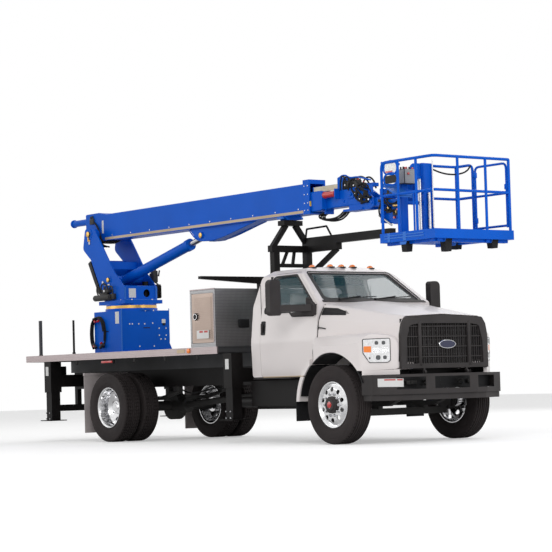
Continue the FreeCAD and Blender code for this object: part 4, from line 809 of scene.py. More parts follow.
SCREEN_BASE = Vector((2.804, 0, 1.868))
SCREEN_TOP = Vector((2.215, 0, 2.322))
SCREEN_UP = (SCREEN_TOP - SCREEN_BASE).normalized()
SCREEN_OUT = Vector((0, 1, 0)).cross(SCREEN_UP)
SCREEN_RISE = (SCREEN_TOP - SCREEN_BASE).length
SCREEN_EDGE = ((-0.850, 0.040, 0.05), (-0.712, SCREEN_RISE - 0.045, 0.06),
               (0.712, SCREEN_RISE - 0.045, 0.06), (0.850, 0.040, 0.05))
SCREEN_RUBBER = ((-0.872, 0.022, 0.06), (-0.728, SCREEN_RISE - 0.029, 0.07),
                 (0.728, SCREEN_RISE - 0.029, 0.07), (0.872, 0.022, 0.06))
CLEAR_GLASS = ((-0.772, 0.112, 0.07), (-0.652, SCREEN_RISE - 0.066, 0.07),
               (0.652, SCREEN_RISE - 0.066, 0.07), (0.772, 0.112, 0.07))


def on_screen(out):
    """A rule that lays a flat outline on the windscreen's slope, a little out from it."""
    return lambda point: SCREEN_BASE + Vector((0, point[0], 0)) + SCREEN_UP * point[1] + SCREEN_OUT * out


class TRUCK_OT_windscreen(bpy.types.Operator):
    """Add the windscreen's black border, its rubber, the cowl and the wipers"""
    bl_idname = "truck.windscreen"
    bl_label = "Windscreen Trim"

    def execute(self, context):
        finished(framed(rounded(SCREEN_EDGE), rounded(CLEAR_GLASS), on_screen(-0.019), 0.003),
                 "screen_border", "chassis", "gasket")
        finished(framed(rounded(SCREEN_RUBBER), rounded(SCREEN_EDGE), on_screen(-0.001), 0.010),
                 "screen_rubber", "chassis", "gasket")
        cowl = [Vector(point) for point in ((-0.905, -0.012), (-0.890, 0.030), (-0.45, 0.045), (0.45, 0.045),
                                            (0.890, 0.030), (0.905, -0.012))]
        finished(patch(cowl, on_screen(0.004), 0.008), "cowl", "chassis", "trim")
        wipers = []
        for foot in (-0.60, 0.02):
            arm = on_screen(0.022)
            blade = on_screen(0.006)
            wipers += [
                post(on_screen(0.0)((foot, 0.030)), on_screen(0.034)((foot, 0.030)), 0.017, 14, 0.004),
                hose([arm((foot, 0.030)), arm((foot + 0.20, 0.062)), arm((foot + 0.40, 0.098))], 0.008),
                hose([blade((foot + 0.10, 0.060)), blade((foot + 0.40, 0.092)), blade((foot + 0.70, 0.118))],
                     0.0065),
            ]
        finished(wipers, "wipers", "chassis", "gasket")
        return {"FINISHED"}


LAMP_START = Vector((3.810, -1.128, 0))
LAMP_ALONG = Vector((0.6685, 0.7437, 0))
LAMP_OUT = Vector((0.7437, -0.6685, 0))
LAMP_REACH = 0.3
LAMP_OUTLINE = ((0.034, 1.340, 0.02), (0.392, 1.346, 0.03), (0.392, 1.060, 0.02), (0.352, 1.032, 0.015),
                (0.120, 1.034, 0.02), (0.036, 1.156, 0.03))
LAMP_RIM = ((0.044, 1.331, 0.015), (0.383, 1.337, 0.02), (0.383, 1.064, 0.015), (0.349, 1.040, 0.01),
            (0.124, 1.042, 0.015), (0.046, 1.160, 0.02))


def on_lamp(tree, lift):
    """A rule that lays an outline of length and height on the headlamp's slanted face."""
    def place(point):
        start = LAMP_START + LAMP_ALONG * point[0] + LAMP_OUT * LAMP_REACH + Vector((0, 0, point[1]))
        met = tree.ray_cast(start, -LAMP_OUT)[0]
        if met is None:
            met = start - LAMP_OUT * LAMP_REACH
        return met + LAMP_OUT * lift
    return place


def lamp_box(place, low, high, depth):
    """A bright frame round one of the lamp's reflectors, standing off the lamp's face."""
    outer = rounded(oblong(low, high, 0.02), 4)
    inner = rounded(oblong((low[0] + 0.014, low[1] + 0.012), (high[0] - 0.014, high[1] - 0.012), 0.012), 4)
    return framed(outer, inner, place, depth)


class TRUCK_OT_headlamps(bpy.types.Operator):
    """Fill each headlamp with its reflectors, bulbs, amber signal and clear cover"""
    bl_idname = "truck.headlamps"
    bl_label = "Headlamps"

    def execute(self, context):
        face = skin("headlamps", "hood")
        base, raised = on_lamp(face, 0.001), on_lamp(face, 0.004)
        both("lamp_rim", "hood", "gasket",
             lambda: framed(rounded(LAMP_OUTLINE), rounded(LAMP_RIM), base, 0.010))
        both("lamp_bowl", "hood", "chrome", lambda: patch(rounded(LAMP_RIM), base, 0.003, 4))
        both("lamp_boxes", "hood", "chrome", lambda: [
            lamp_box(raised, (0.158, 1.240), (0.370, 1.332), 0.012),
            lamp_box(raised, (0.170, 1.050), (0.372, 1.152), 0.012),
            lamp_box(raised, (0.100, 1.058), (0.150, 1.130), 0.010),
            *[hose([raised((s, z)) for s in (0.160, 0.26, 0.370)], 0.003)
              for z in (1.168, 1.184, 1.200, 1.216)]])
        both("lamp_signal", "hood", "amber", lambda: patch(
            rounded(((0.050, 1.170, 0.01), (0.050, 1.246, 0.01), (0.146, 1.246, 0.01), (0.146, 1.166, 0.01))),
            raised, 0.008))
        both("lamp_lenses", "hood", "dark_glass", lambda: [
            patch(rounded(oblong((s - r, z - r), (s + r, z + r), r * 0.9)), raised, 0.006)
            for s, z, r in ((0.215, 1.286, 0.024), (0.305, 1.286, 0.024), (0.232, 1.100, 0.030),
                            (0.318, 1.100, 0.024), (0.124, 1.094, 0.013))])
        return {"FINISHED"}


# ---------------------------------------------------------------- boom

def stud_row(tree, points, way, radius=0.012, tall=0.006):
    """Bolt heads standing on a skin."""
    heads = []
    for point in points:
        seat = landed(tree, point, way)
        heads.append(post(seat, seat - Vector(way) * tall, radius, 6, 0.001))
    return heads


class TRUCK_OT_boom_trim(bpy.types.Operator):
    """Add the boom's wear strip, blank plates, bolt heads and pivot fittings"""
    bl_idname = "truck.boom_trim"
    bl_label = "Boom Trim"

    def execute(self, context):
        side = skin("boom_base")
        both("boom_strip", "boom_base", "tan", lambda: [
            block((-3.66, -0.1362, 3.166), (1.48, -0.1335, 3.206), 0.001)])
        both("boom_strip_edge", "boom_base", "blue", lambda: [
            block((-3.66, -0.140, 3.157), (1.48, -0.133, 3.166), 0.001)])
        both("boom_plate", "boom_base", "label", lambda: [
            block((-3.745, -0.1372, 3.275), (-3.695, -0.1338, 3.480), 0.001)])
        both("boom_bolts", "boom_base", "steel", lambda: stud_row(
            side, [(-3.45 + index * 0.535, -0.4, 3.228) for index in range(10)], (0, 1, 0)))
        both("boom_collar_bolts", "boom_base", "steel", lambda: stud_row(
            side, [(x, -0.4, z) for x in (1.525, 1.600) for z in (3.20, 3.30, 3.42, 3.54)], (0, 1, 0), 0.010))
        both("pivot_cap", "turret", "gold", lambda: [
            spun(((-0.330, 0), (-0.330, 0.030), (-0.334, 0.044), (-0.343, 0.044), (-0.347, 0.036),
                  (-0.347, 0)),
                 (-3.858, 0, 3.263), 24),
            spun(((-0.330, 0), (-0.330, 0.024), (-0.334, 0.035), (-0.342, 0.035), (-0.345, 0.028),
                  (-0.345, 0)),
                 (-3.299, 0, 2.503), 24)])
        both("pivot_keeper", "turret", "gold", lambda: [
            block((-3.872, -0.336, 3.150), (-3.846, -0.310, 3.215), 0.004),
            block((-3.890, -0.320, 3.144), (-3.828, -0.311, 3.176), 0.003)])
        both("rod_cap", "boom_base", "gold", lambda: [
            spun(((-0.112, 0), (-0.112, 0.034), (-0.117, 0.040), (-0.126, 0.040), (-0.130, 0.032),
                  (-0.130, 0)),
                 (-1.048, 0, 3.046), 24)])
        both("lug_flange", "boom_base", "blue", lambda: hose(
            [(-1.37, -0.100, 3.145), (-1.20, -0.100, 3.010), (-1.09, -0.100, 2.972), (-0.87, -0.100, 2.958),
             (-0.70, -0.100, 2.962), (0.30, -0.100, 3.150)], 0.009))
        return {"FINISHED"}


class TRUCK_OT_boom_pivot(bpy.types.Operator):
    """Drape the hoses and the harness over the boom's rear pivot"""
    bl_idname = "truck.boom_pivot"
    bl_label = "Boom Pivot Hoses"

    def execute(self, context):
        rows = []
        for index in range(5):
            y = -0.105 + index * 0.052
            rows.append(hose([(-4.205, y, 3.50), (-4.23, y, 3.40), (-4.205, y * 1.02, 3.26),
                              (-4.14, y, 3.155), (-4.02, y * 0.9, 3.10), (-3.90, y * 0.9, 3.075)], 0.013))
        fittings("rear_hoses", "boom_base", "rubber", extra=rows)
        fittings("rear_harness", "boom_base", "rubber",
                 hoses=[([(-3.95, -0.142, 3.46), (-3.87, -0.150, 3.40), (-3.80, -0.149, 3.29),
                          (-3.77, -0.146, 3.19), (-3.70, -0.130, 3.142)], 0.014),
                        ([(-4.02, -0.142, 3.50), (-3.90, -0.158, 3.43), (-3.79, -0.156, 3.31),
                          (-3.75, -0.148, 3.18)], 0.010),
                        ([(-3.78, -0.10, 3.146), (-3.66, -0.09, 3.130), (-3.50, -0.08, 3.142)], 0.013),
                        ([(-3.80, -0.04, 3.140), (-3.66, -0.03, 3.122), (-3.48, -0.03, 3.140)], 0.013),
                        ([(-3.82, 0.02, 3.142), (-3.66, 0.03, 3.120), (-3.48, 0.02, 3.142)], 0.013)],
                 blocks=[((-3.84, -0.128, 3.118), (-3.765, 0.10, 3.160), 0.012, 2),
                         ((-3.655, -0.120, 3.126), (-3.600, 0.06, 3.160), 0.010, 2)])
        fittings("rear_valve", "boom_base", "iron",
                 blocks=[((-4.08, -0.160, 3.44), (-3.96, -0.134, 3.535), 0.010, 2),
                         ((-4.00, -0.152, 3.22), (-3.92, -0.134, 3.31), 0.008, 2)],
                 posts=[((-4.05, -0.15, 3.535), (-4.05, -0.15, 3.57), 0.012, 12),
                        ((-4.00, -0.15, 3.535), (-4.00, -0.15, 3.575), 0.012, 12)])
        fittings("slip_joint", "boom_base", "blue",
                 extra=[spun(((-0.028, 0.052), (-0.028, 0.066), (0.0, 0.066), (0.0, 0.052)), (-4.78, 0, 3.51),
                             28, (1, 0, 0)),
                        spun(((0, 0.0), (0, 0.030), (-0.020, 0.030), (-0.026, 0.022), (-0.026, 0.0)),
                             (-4.784, 0, 3.51), 24, (1, 0, 0))])
        return {"FINISHED"}


HEAD_BLOCKS = (
    # valves on top of the boom's head: low corner, high corner, easing, steps
    ((2.24, -0.086, 3.424), (2.34, -0.010, 3.545), 0.010, 2),
    ((2.36, -0.096, 3.440), (2.50, -0.020, 3.520), 0.010, 2),
    ((2.53, -0.092, 3.430), (2.62, -0.010, 3.530), 0.010, 2),
    ((2.66, -0.080, 3.410), (2.73, 0.020, 3.480), 0.008, 2),
    ((2.42, 0.010, 3.436), (2.60, 0.090, 3.500), 0.010, 2),
)
HEAD_CAPS = (
    # the valves' coils and plugs: foot, tip, radius, sides
    ((2.28, -0.050, 3.54), (2.28, -0.050, 3.595), 0.018, 14),
    ((2.40, -0.060, 3.52), (2.40, -0.060, 3.572), 0.016, 14),
    ((2.46, -0.060, 3.52), (2.46, -0.060, 3.560), 0.016, 14),
    ((2.57, -0.050, 3.53), (2.57, -0.050, 3.575), 0.016, 14),
    ((2.50, 0.050, 3.50), (2.50, 0.050, 3.560), 0.018, 14),
)


def arc_hose(x0, x1, y, low, high, radius, drift=0.0):
    """A hose that rises from the boom's head and comes down again."""
    run = x1 - x0
    return hose([(x0, y, low), (x0 + run * 0.10, y, low + (high - low) * 0.72),
                 (x0 + run * 0.38, y + drift * 0.5, high),
                 (x0 + run * 0.70, y + drift, low + (high - low) * 0.8),
                 (x1, y + drift, low)], radius)


class TRUCK_OT_boom_head(bpy.types.Operator):
    """Crowd the boom's head with its valves, cylinders, hoses and cable tray"""
    bl_idname = "truck.boom_head"
    bl_label = "Boom Head"

    def execute(self, context):
        fittings("head_valves", "boom_fly", "iron", HEAD_BLOCKS, HEAD_CAPS)
        fittings("head_hoses", "boom_fly", "rubber", extra=[
            arc_hose(2.27, 2.40, -0.105, 3.42, 3.606, 0.011, 0.01),
            arc_hose(2.33, 2.52, -0.112, 3.42, 3.585, 0.010),
            arc_hose(2.44, 2.66, -0.108, 3.40, 3.545, 0.011, 0.02),
            arc_hose(2.60, 2.92, -0.106, 3.34, 3.470, 0.012),
            arc_hose(2.60, 2.84, 0.02, 3.40, 3.560, 0.012, 0.03),
            arc_hose(2.30, 2.70, 0.06, 3.43, 3.590, 0.012, 0.02),
            hose([(2.58, -0.104, 3.41), (2.66, -0.122, 3.37), (2.74, -0.124, 3.30), (2.83, -0.120, 3.26),
                  (2.93, -0.118, 3.27)], 0.014),
            hose([(2.50, -0.104, 3.41), (2.58, -0.120, 3.34), (2.64, -0.122, 3.26), (2.75, -0.118, 3.22),
                  (2.86, -0.114, 3.21)], 0.014),
            hose([(2.62, -0.104, 3.43), (2.74, -0.130, 3.40), (2.84, -0.132, 3.34), (2.90, -0.122, 3.26)],
                 0.012),
            hose([(2.66, -0.100, 3.40), (2.78, -0.116, 3.36), (2.86, -0.116, 3.30), (2.80, -0.112, 3.22),
                  (2.70, -0.108, 3.20)], 0.012),
        ])
        fittings("head_harness", "boom_fly", "rubber",
                 blocks=[((2.655, -0.130, 3.225), (2.745, -0.100, 3.315), 0.014, 2),
                         ((2.775, -0.134, 3.285), (2.860, -0.104, 3.365), 0.014, 2),
                         ((2.560, -0.124, 3.300), (2.640, -0.100, 3.375), 0.012, 2)])
        fittings("head_unions", "boom_fly", "steel", posts=[
            ((2.70, -0.134, 3.26), (2.70, -0.118, 3.26), 0.008, 6),
            ((2.60, -0.128, 3.34), (2.60, -0.11, 3.34), 0.007, 6),
            ((2.36, -0.104, 3.48), (2.36, -0.09, 3.48), 0.012, 6),
            ((2.54, -0.100, 3.46), (2.54, -0.09, 3.46), 0.012, 6),
            ((2.88, -0.128, 3.24), (2.88, -0.11, 3.24), 0.014, 6)])
        fittings("head_manifolds", "boom_fly", "blue", blocks=[
            ((2.445, -0.112, 3.285), (2.545, -0.100, 3.395), 0.004),
            ((2.250, -0.104, 3.215), (2.420, -0.100, 3.300), 0.004),
            ((2.640, -0.040, 3.420), (2.880, 0.070, 3.470), 0.006),
            ((2.880, -0.112, 3.330), (2.960, -0.100, 3.440), 0.004)],
            posts=[((2.49, -0.100, 3.345), (2.49, -0.126, 3.345), 0.026, 18, 0.003),
                   ((2.33, -0.100, 3.262), (2.33, -0.116, 3.262), 0.020, 18, 0.003)])
        fittings("head_markers", "boom_fly", "red", posts=[
            ((2.60, -0.06, 3.530), (2.60, -0.06, 3.552), 0.013, 12),
            ((2.70, -0.05, 3.480), (2.70, -0.05, 3.505), 0.012, 12),
            ((2.44, 0.05, 3.500), (2.44, 0.05, 3.526), 0.012, 12),
            ((2.83, -0.117, 3.245), (2.83, -0.100, 3.245), 0.012, 12)])
        fittings("tray_cover", "boom_fly", "cream",
                 blocks=[((1.66, -0.0905, 3.432), (2.22, -0.080, 3.512), 0.004)])
        fittings("extend_cylinder", "boom_fly", "red_paint", extra=[
            spun(((1.955, 0), (1.955, 0.040), (1.965, 0.047), (1.985, 0.047), (1.990, 0.042),
                  (2.190, 0.042), (2.195, 0.047), (2.215, 0.047), (2.220, 0.036), (2.220, 0)),
                 (0, -0.142, 3.375), 28, (1, 0, 0))])
        fittings("cylinder_saddle", "boom_fly", "blue",
                 blocks=[((1.938, -0.190, 3.180), (1.962, -0.101, 3.430), 0.004),
                         ((2.228, -0.190, 3.300), (2.246, -0.101, 3.440), 0.004),
                         ((2.222, -0.110, 3.424), (2.242, 0.088, 3.600), 0.006)])
        fittings("head_guard", "boom_fly", "blue", extra=[
            hose([(2.235, -0.09, 3.43), (2.225, -0.095, 3.56), (2.26, -0.095, 3.60), (2.36, -0.095, 3.612),
                  (2.46, -0.095, 3.575), (2.62, -0.095, 3.565), (2.90, -0.095, 3.50)], 0.011)])
        fittings("fold_plate", "boom_base", "yellow",
                 blocks=[((1.605, -0.1455, 3.250), (1.635, -0.060, 3.325), 0.006)])
        return {"FINISHED"}


class TRUCK_OT_basket_drive(bpy.types.Operator):
    """Add the levelling rod, the turning drive and the valves behind the basket"""
    bl_idname = "truck.basket_drive"
    bl_label = "Basket Drive"

    def execute(self, context):
        fittings("turn_motor", "basket_mount", "blue", extra=[
            spun(((3.150, 0), (3.150, 0.075), (3.165, 0.092), (3.385, 0.092), (3.400, 0.075), (3.418, 0.060),
                  (3.418, 0)), (3.59, 0, 0), 32, (0, 0, 1))])
        fittings("mount_valves", "basket_mount", "iron",
                 blocks=[((3.095, -0.108, 3.145), (3.165, -0.081, 3.300), 0.010, 2),
                         ((3.18, -0.090, 3.206), (3.32, -0.010, 3.290), 0.012, 2),
                         ((3.30, -0.070, 2.985), (3.40, -0.046, 3.070), 0.010, 2),
                         ((3.16, -0.070, 3.030), (3.26, -0.046, 3.110), 0.010, 2)],
                 posts=[((3.20, -0.05, 3.29), (3.20, -0.05, 3.335), 0.018, 12),
                        ((3.27, -0.05, 3.29), (3.27, -0.05, 3.345), 0.018, 12),
                        ((3.08, -0.112, 3.20), (3.14, -0.112, 3.20), 0.020, 12)])
        fittings("mount_hoses", "basket_mount", "rubber", extra=[
            hose([(3.14, -0.092, 3.28), (3.18, -0.118, 3.22), (3.26, -0.112, 3.12), (3.33, -0.085, 3.04),
                  (3.36, -0.060, 3.02)], 0.013),
            hose([(3.16, -0.092, 3.25), (3.13, -0.125, 3.17), (3.17, -0.118, 3.08), (3.24, -0.080, 3.06)],
                 0.013),
            hose([(3.20, -0.085, 3.24), (3.28, -0.120, 3.16), (3.38, -0.110, 3.14), (3.44, -0.060, 3.19)],
                 0.012),
            hose([(3.12, -0.100, 3.19), (3.09, -0.122, 3.08), (3.10, -0.100, 2.98), (3.14, -0.070, 2.94)],
                 0.012),
            hose([(3.30, -0.05, 3.26), (3.36, -0.09, 3.32), (3.45, -0.085, 3.30), (3.50, -0.075, 3.24)],
                 0.011)])
        fittings("level_rod", "basket_mount", "steel",
                 posts=[((3.055, -0.095, 3.010), (3.270, -0.060, 2.860), 0.014, 14)])
        fittings("mount_unions", "basket_mount", "brass", posts=[
            ((3.34, -0.078, 3.115), (3.44, -0.078, 3.112), 0.020, 14),
            ((3.24, -0.092, 3.10), (3.24, -0.070, 3.10), 0.020, 6),
            ((3.36, -0.072, 3.03), (3.36, -0.055, 3.03), 0.018, 6),
            ((3.14, -0.120, 3.24), (3.14, -0.100, 3.24), 0.016, 6)])
        fittings("mount_markers", "basket_mount", "red", posts=[
            ((3.41, -0.086, 3.06), (3.41, -0.046, 3.06), 0.014, 10),
            ((3.33, -0.075, 2.96), (3.33, -0.046, 2.96), 0.016, 10)])
        return {"FINISHED"}


def panel_frame(low, high, y, radius=0.0125):
    """A bent tube frame with rounded corners in the basket's side."""
    (x0, z0), (x1, z1) = low, high
    ease = 0.035
    points = [(x0 + ease, z0), (x1 - ease, z0), (x1, z0 + ease), (x1, z1 - ease), (x1 - ease, z1),
              (x0 + ease, z1), (x0, z1 - ease), (x0, z0 + ease), (x0 + ease, z0)]
    return hose([(x, y, z) for x, z in points], radius, 3)


class TRUCK_OT_basket_trim(bpy.types.Operator):
    """Fit the basket with its control panels, tray, mast rods, brackets, floor bars and cable"""
    bl_idname = "truck.basket_trim"
    bl_label = "Basket Trim"

    def execute(self, context):
        near = -0.650
        fittings("panel_frames", "basket", "blue", extra=[
            panel_frame((3.835, 3.455), (4.085, 3.600), near),
            panel_frame((3.835, 3.318), (4.085, 3.445), near)])
        fittings("panel_screen", "basket", "clear",
                 blocks=[((3.85, near - 0.003, 3.470), (4.07, near + 0.003, 3.588), 0.002)])
        fittings("panel_dark", "basket", "gasket",
                 blocks=[((3.85, near - 0.004, 3.332), (4.07, near + 0.004, 3.432), 0.003)])
        fittings("panel_label", "basket", "red",
                 blocks=[((3.86, near - 0.008, 3.474), (4.00, near - 0.002, 3.492), 0.001)])
        fittings("control_face", "basket", "grey", blocks=[
            ((3.942, -0.398, 3.345), (3.956, -0.192, 3.531), 0.006, 2),
            ((3.818, -0.4035, 3.350), (3.936, -0.3995, 3.526), 0.001)])
        fittings("control_knobs", "basket", "gasket", posts=[
            ((x, y, 3.530), (x, y, 3.566), 0.011, 12, 0.002)
            for x in (3.84, 3.89) for y in (-0.37, -0.32, -0.27, -0.22)])
        fittings("control_buttons", "basket", "red", posts=[
            ((3.92, -0.36, 3.531), (3.92, -0.36, 3.560), 0.017, 14, 0.003),
            ((3.955, -0.35, 3.47), (3.972, -0.35, 3.47), 0.016, 14, 0.002),
            ((3.92, -0.24, 3.531), (3.92, -0.24, 3.556), 0.013, 14, 0.002)])
        # painted highlight: the tool tray is in the lighter copy of the boom blue
        fittings("tool_tray", "basket", "light_blue", extra=[
            sheet([(3.80, -0.64, 3.300), (3.80, -0.36, 3.300), (4.04, -0.36, 3.165), (4.04, -0.64, 3.165)],
                  (0, 0, 0.010), 0.002)],
            blocks=[((3.79, -0.642, 3.290), (3.81, -0.358, 3.345), 0.004),
                    ((4.02, -0.642, 3.150), (4.04, -0.358, 3.205), 0.004)])
        turns = [math.pi / 2 + math.pi * step / 12 for step in range(13)]
        round_end = [(3.768, -0.075 + 0.09 * math.cos(turn), 3.546 + 0.09 * math.sin(turn)) for turn in turns]
        fittings("mast_top", "basket", "blue", extra=[
            sheet([(3.768, 0.015, 3.636), *round_end, (3.768, 0.015, 3.456)], (0.014, 0, 0), 0.001)],
            blocks=[((3.815, 0.022, 2.62), (3.835, 0.034, 3.63), 0.002),
                    ((3.815, 0.176, 2.62), (3.835, 0.188, 3.63), 0.002)])
        fittings("mast_rods", "basket", "steel", posts=[
            ((3.840, -0.055, 2.700), (3.840, -0.055, 3.420), 0.020, 16),
            ((3.840, 0.105, 2.700), (3.840, 0.105, 3.250), 0.022, 16)])
        fittings("basket_cable", "basket", "rubber", extra=[
            hose([(3.83, 0.19, 3.56), (3.90, 0.26, 3.515), (3.98, 0.36, 3.485), (4.05, 0.47, 3.490),
                  (4.09, 0.56, 3.53), (4.10, 0.62, 3.60)], 0.011)])
        fittings("gate_hoop", "basket", "blue", extra=[
            hose([(4.40, -0.655, 3.170), (4.40, -0.655, 3.12), (4.402, -0.655, 3.0), (4.402, -0.655, 2.68)],
                 0.013)])
        # painted highlight: the toe channel is in the lighter copy of the boom blue
        fittings("toe_channel", "basket", "light_blue", blocks=[
            ((3.84, -0.688, 2.612), (4.60, -0.680, 2.628), 0.002),
            ((3.84, -0.688, 2.646), (4.60, -0.680, 2.660), 0.002),
            ((4.20, -0.686, 2.574), (4.26, -0.6795, 2.688), 0.003),
            ((3.90, -0.686, 2.574), (3.95, -0.6795, 2.688), 0.003)])
        # painted highlight: the foot brackets are in the lighter copy of the boom blue
        fittings("foot_brackets", "basket", "light_blue", extra=[
            sheet([(x - 0.075, y, 2.572), (x + 0.075, y, 2.572), (x + 0.052, y, 2.528),
                   (x - 0.052, y, 2.528)],
                  (0, push, 0), 0.002)
            for x, y, push in ((4.18, -0.668, 0.006), (4.70, -0.468, 0.006), (4.70, 0.332, 0.006),
                               (4.18, 0.182, 0.006))])
        fittings("under_beams", "basket", "blue", blocks=[
            ((3.79, -0.60, 2.535), (4.77, -0.53, 2.571), 0.004),
            ((3.79, 0.23, 2.535), (4.77, 0.30, 2.571), 0.004),
            ((4.66, -0.64, 2.530), (4.74, 0.64, 2.571), 0.004)])
        fittings("floor_grating", "basket", "blue", blocks=[
            ((3.78 + step * 0.085, -0.665, 2.6005), (3.795 + step * 0.085, 0.665, 2.612),
             0.001) for step in range(12)])
        fittings("hitch_pin", "basket", "blue",
                 posts=[((4.795, 0.60, 2.632), (4.806, 0.60, 2.632), 0.020, 14)])
        return {"FINISHED"}


# ---------------------------------------------------------------- turret and pedestal

PEDESTAL_X = (-3.540, -2.760)
PEDESTAL_SIDE = 0.449


class TRUCK_OT_turret_trim(bpy.types.Operator):
    """Add the turret's flanges, blank plate, valves, guard strip and controls"""
    bl_idname = "truck.turret_trim"
    bl_label = "Turret Trim"

    def execute(self, context):
        # painted highlight: the flanges on the turret's front edges are in the lighter copy of the boom blue
        fittings("turret_flanges", "turret", "light_blue", blocks=[
            ((-2.886, -0.306, 2.172), (-2.868, -0.276, 2.372), 0.003),
            ((-2.886, 0.276, 2.172), (-2.868, 0.306, 2.372), 0.003),
            ((-2.884, -0.290, 2.168), (-2.864, 0.290, 2.182), 0.003)])
        fittings("turret_plate", "turret", "label",
                 blocks=[((-2.886, -0.215, 2.205), (-2.8845, -0.085, 2.350), 0.0005)])
        fittings("valve_stack", "turret", "iron",
                 blocks=[((-3.50, -0.372, 2.190), (-3.28, -0.311, 2.300), 0.012, 2),
                         ((-3.40, -0.385, 2.300), (-3.22, -0.311, 2.352), 0.010, 2),
                         ((-3.20, -0.365, 2.190), (-3.10, -0.311, 2.280), 0.010, 2)],
                 posts=[((-3.62, -0.372, 2.225), (-3.18, -0.372, 2.225), 0.048, 20, 0.006),
                        ((-3.36, -0.36, 2.352), (-3.36, -0.36, 2.392), 0.018, 12),
                        ((-3.28, -0.36, 2.352), (-3.28, -0.36, 2.392), 0.018, 12)],
                 hoses=[([(-3.44, -0.345, 2.30), (-3.46, -0.36, 2.40), (-3.40, -0.35, 2.45),
                          (-3.33, -0.33, 2.40)], 0.011),
                        ([(-3.15, -0.345, 2.28), (-3.13, -0.36, 2.36), (-3.19, -0.35, 2.40),
                          (-3.25, -0.34, 2.36)], 0.011),
                        ([(-3.52, -0.35, 2.24), (-3.60, -0.34, 2.30), (-3.64, -0.325, 2.38),
                          (-3.60, -0.32, 2.46)], 0.011)])
        fittings("valve_fittings", "turret", "steel", posts=[
            ((-3.46, -0.330, 2.470), (-3.46, -0.311, 2.470), 0.026, 6),
            ((-3.40, -0.335, 2.428), (-3.40, -0.311, 2.428), 0.020, 6),
            ((-3.33, -0.392, 2.330), (-3.33, -0.376, 2.330), 0.020, 14),
            ((-3.25, -0.385, 2.240), (-3.25, -0.365, 2.240), 0.026, 14),
            ((-3.16, -0.372, 2.235), (-3.16, -0.360, 2.235), 0.016, 12)])
        guard = [(-3.585, 2.290), (-3.745, 2.560), (-3.880, 2.800), (-3.810, 2.838), (-3.665, 2.575),
                 (-3.505, 2.300)]
        fittings("guard_strip", "turret", "gasket", extra=[
            sheet([(x - 0.050, -0.300, z) for x, z in guard], (0, 0.560, 0), 0.004)])
        fittings("far_controls", "turret", "iron",
                 blocks=[((-3.06, 0.312, 2.45), (-2.97, 0.40, 2.64), 0.012, 2),
                         ((-3.05, 0.335, 2.640), (-3.00, 0.39, 2.76), 0.008, 2),
                         ((-3.02, 0.36, 2.20), (-2.93, 0.425, 2.42), 0.008, 2)],
                 posts=[((-2.96, 0.40, 2.55), (-2.93, 0.40, 2.64), 0.012, 12),
                        ((-3.09, 0.34, 2.50), (-3.09, 0.34, 2.60), 0.022, 14)],
                 hoses=[([(-3.02, 0.37, 2.46), (-2.96, 0.40, 2.40), (-2.98, 0.40, 2.32), (-3.05, 0.35, 2.24)],
                         0.011)])
        fittings("turret_keepers", "turret", "steel",
                 blocks=[((-3.33, -0.326, 2.415), (-3.27, -0.311, 2.440), 0.003),
                         ((-3.86, -0.326, 3.10), (-3.82, -0.311, 3.15), 0.003)])
        fittings("turret_deck_bolts", "turret", "steel", posts=[
            ((-3.15 + 0.37 * math.cos(turn), 0.34 * math.sin(turn), 2.166),
             (-3.15 + 0.37 * math.cos(turn), 0.34 * math.sin(turn), 2.182), 0.015, 6)
            for turn in [math.radians(angle) for angle in (-62, -48, -34, 34, 48, 62)]])
        fittings("inner_plate", "turret", "blue", blocks=[
            ((-3.05, -0.289, 2.360), (-2.905, 0.289, 2.372), 0.003),
            ((-3.42, -0.289, 2.68), (-3.40, 0.289, 2.80), 0.003)])
        return {"FINISHED"}


